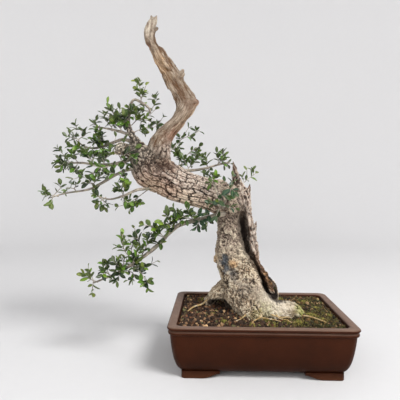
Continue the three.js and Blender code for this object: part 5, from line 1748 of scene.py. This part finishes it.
def add_grains(wood):
    """Loose potting grains that cover the bed, angular and of mixed sizes."""
    chance = random.Random(5)
    coarse, fine = icosphere(2), icosphere(1)
    palette, shares = zip(*GRAIN_COLOURS)
    shapes, paints = [], []
    for x, y in grain_spots(chance):
        big = 1 + 0.7 * math.exp(-((x - COARSE_SPOT[0]) ** 2 + (y - COARSE_SPOT[1]) ** 2) / 900)
        size = min(chance.lognormvariate(math.log(GRAIN_SIZE), 0.33) * big, LARGEST_GRAIN)
        reach = size + RIM_ROOM
        if abs(x) > POT_WIDTH / 2 - reach or abs(y) > POT_DEPTH / 2 - reach:
            continue
        z = float(soil_height(x, y)) - 1.9 + 0.35 * size + 1.0 * noise.noise((x / 9, y / 9, 0))
        if out_of_wood(Vector((x, y, z)), wood) < 0.2 * size:
            continue
        points, faces = coarse if size > COARSE_GRAIN else fine
        shapes.append((broken_grain(points, (x, y, z), size, chance), faces))
        colour = chance.choices(palette, shares)[0] * chance.uniform(0.75, 1.25)
        colour = colour * (1 - 0.32 * float(ramp(x, 20, 90)))  # darker and greener to the right
        greenish = ramp(x, 20, 110) * 0.24 * chance.random()
        colour = colour + (BARK["moss"] - colour) * float(greenish)
        paints.append(np.tile(colour, (len(points), 1)) * (0.8 + 0.4 * (points[:, 2:] > 0)))
    half = len(shapes) // 2
    for name, part in (("soil_grains_left", slice(half)), ("soil_grains_right", slice(half, None))):
        piece = add_mesh(name, *joined(shapes[part]), GRAIN, np.vstack(paints[part]), smooth=False)
        finished(piece, "soil")


# Moss cushions: (x, y, radius, how many shoots).
MOSS_PATCHES = [
    (86, -40, 18, 260), (60, -74, 20, 280), (104, 6, 15, 140), (20, -84, 15, 160), (100, -60, 15, 150),
    (74, 6, 15, 140), (-14, -86, 9, 110), (-58, -74, 8, 70), (-112, -20, 8, 70), (-80, -40, 7, 60),
    (40, -72, 12, 150), (92, 44, 15, 160), (50, 60, 14, 140), (-30, 80, 14, 140), (-96, 50, 14, 140),
    (120, -30, 10, 80), (10, -68, 10, 120),
]
MOSS_DARK, MOSS_PALE, MOSS_DRY = linear(90, 92, 40), linear(170, 160, 80), linear(140, 104, 62)
SHOOT_HEIGHTS, SHOOT_RADII = (1.8, 4.2), (0.35, 0.7)
MOSS_CLIMB = 16  # how high up a root moss grows
MOSS_SUNK = 1.6  # how far its foot is under the grains' mean height
MOSS_ROOM = 18  # from the pot's outside to the moss


def unit_circle(sides):
    angle = np.linspace(0, 2 * math.pi, sides, endpoint=False)
    return np.column_stack([np.cos(angle), np.sin(angle), np.zeros(sides)])


def add_moss(wood):
    """Short pointed moss shoots in small cushions on the soil and at the foot of the roots."""
    chance = random.Random(9)
    sides = 5
    circle = unit_circle(sides)
    faces = ring_faces(2, sides, closed_ends=False)
    faces += [[sides + i, sides + (i + 1) % sides, 2 * sides] for i in range(sides)]
    faces.append(list(range(sides))[::-1])
    shapes, paints = [], []
    for x0, y0, radius, count in MOSS_PATCHES:
        for _ in range(count):
            way, far = chance.uniform(0, 2 * math.pi), abs(chance.gauss(0, 0.5))
            x, y = x0 + radius * far * math.cos(way), y0 + radius * far * math.sin(way)
            if abs(x) > POT_WIDTH / 2 - MOSS_ROOM or abs(y) > POT_DEPTH / 2 - MOSS_ROOM:
                continue
            z = float(soil_height(x, y)) - MOSS_SUNK
            if out_of_wood(Vector((x, y, z)), wood) < 0:  # on a root, unless it is too tall
                top, *_ = wood.ray_cast(Vector((x, y, z + 40)), Vector((0, 0, -1)))
                if top is None or top.z > z + MOSS_CLIMB:
                    continue
                z = top.z - 0.5
            tall = chance.uniform(*SHOOT_HEIGHTS) * (1.2 - 0.5 * min(far, 1))
            thick = chance.uniform(*SHOOT_RADII)
            lean = np.array([chance.gauss(0, 0.28), chance.gauss(0, 0.28), 1.0])
            base = circle * thick
            middle = circle * thick * 0.8 + lean * tall * 0.55
            points = np.vstack([base, middle, [lean * tall]]) + (x, y, z)
            shapes.append((points, faces))
            tint = MOSS_DARK + (MOSS_PALE - MOSS_DARK) * chance.random() ** 1.4
            tint = tint + (MOSS_DRY - tint) * (0.6 if chance.random() < 0.15 else 0)
            # Partly painted shade: each shoot darkens towards its foot, down in the cushion, and is paler at
            # its tip.
            paints.append(np.repeat([tint * 0.45, tint * 0.8, tint * 1.25], (sides, sides, 1), axis=0))
    piece = add_mesh("moss_cushions", *joined(shapes), MOSS, np.vstack(paints))
    finished(piece, "soil")


FINE_ROOTS = [
    [(-74, 4, 108, 2.6), (-84, 1, 100, 2.3), (-92, 2, 92, 1.9), (-98, 4, 87.6, 1.8), (-108, -5, 87.2, 1.6),
     (-114, -16, 86.8, 1.3), (-120, -28, 85, 0.9)],
    [(60, -40, 84, 1.8), (78, -52, 86.5, 1.6), (92, -66, 86, 1.2), (104, -74, 83.5, 0.8)],
    [(-12, -50, 94, 1.3), (-4, -62, 89, 1.2), (8, -69, 87.4, 1.0), (20, -73, 86.8, 0.9), (31, -74, 84, 0.6)],
    [(8, -50, 96, 1.4), (20, -60, 90, 1.2), (33, -63, 87.6, 1.1), (46, -60, 87, 0.9), (54, -62, 84, 0.6)],
    [(-20, -52, 91, 1.2), (-27, -62, 87.6, 1.0), (-33, -72, 86.6, 0.9), (-42, -76, 84, 0.6)],
    [(0, -52, 94, 1.2), (1, -64, 88.4, 1.1), (-7, -73, 87, 0.9), (-16, -79, 84, 0.6)],
    [(26, -56, 90, 1.2), (29, -68, 87.6, 1.0), (40, -74, 86.8, 0.9), (48, -80, 84, 0.5)],
]


def add_fine_roots():
    """Thin roots that run along the soil from the foot of the trunk."""
    shapes = [Course(rings, BRANCH_STEPS).tube(ROOT_SIDES) for rings in FINE_ROOTS]
    points, faces = joined([shape[:2] for shape in shapes])
    grain = np.vstack([shape[2] for shape in shapes])
    colour = painted(0.55 + 0.5 * waves(points, 6, 2), "brown", "root_tan", "light")
    piece = add_mesh("fine_roots", points, faces, TWIG, colour, grain)
    finished(piece, "bark")


# ---- Studio ----

FLOOR_REACH, WALL_REACH, WALL_TOP = 1500, 2600, 3400
TREE_MIDDLE = (-60, 0, 250)
SKY_COLOUR, SKY_STRENGTH = (0.93, 0.96, 1.0, 1), 0.44
LIGHTS = {  # where each is, its width in metres and its power in watts
    "key": ((1500, -1700, 2500), 1.3, 100),
    "fill": ((-900, -2300, 700), 2.0, 26),
}


def add_studio():
    """A pale floor that curves up into a wall all round, far from the object."""
    sides = 96
    circle = unit_circle(sides)
    profile = [(reach, 0.0) for reach in (400, 900, FLOOR_REACH)]
    curve = WALL_REACH - FLOOR_REACH
    for turn in np.linspace(0.1, math.pi / 2, 12):
        profile.append((FLOOR_REACH + curve * math.sin(turn), curve * (1 - math.cos(turn))))
    profile.append((WALL_REACH, WALL_TOP))
    rings = [circle * reach + (0, 0, height) for reach, height in profile]
    points, faces = stacked(rings, closed_ends=False)
    faces = [face[::-1] for face in faces] + [list(range(sides))]
    floor = add_mesh("studio_floor", points, faces, STUDIO)


def add_light(name, place_at, size, power):
    """A soft round light that looks at the tree and isn't seen itself."""
    data = bpy.data.lights.new(name, "AREA")
    data.shape = "DISK"
    data.size = size
    data.energy = power
    light = bpy.data.objects.new(name, data)
    light.location = place(place_at)
    light.visible_camera = False
    aim = Vector(TREE_MIDDLE) - Vector(place_at)
    light.rotation_euler = aim.to_track_quat("-Z", "Y").to_euler()
    SCENE.collection.objects.link(light)


def add_lights():
    """The lights, and an even pale sky that fills the shadows."""
    world = bpy.data.worlds.new("studio_air")
    world.use_nodes = True
    background = world.node_tree.nodes["Background"]
    background.inputs["Color"].default_value = SKY_COLOUR
    background.inputs["Strength"].default_value = SKY_STRENGTH
    SCENE.world = world
    for name, light in LIGHTS.items():
        add_light(name, *light)
    SCENE.view_settings.view_transform = "Standard"


# ---- Everything ----

trunk_piece = add_trunk()
is_free, wood_tree = room_keeper(trunk_piece)
for branch_name, branch_rings in BRANCHES.items():
    add_branch(branch_name, branch_rings)
for spray_name, spray in SPRAYS.items():
    add_spray(spray_name, *spray, is_free)
add_pot()
add_lattice("drain_lattice_left", "drainage_mesh_left")
add_lattice("drain_lattice_right", "drainage_mesh_right")
add_soil_bed()
add_grains(wood_tree)
add_moss(wood_tree)
add_fine_roots()
add_studio()
add_lights()
add_camera()
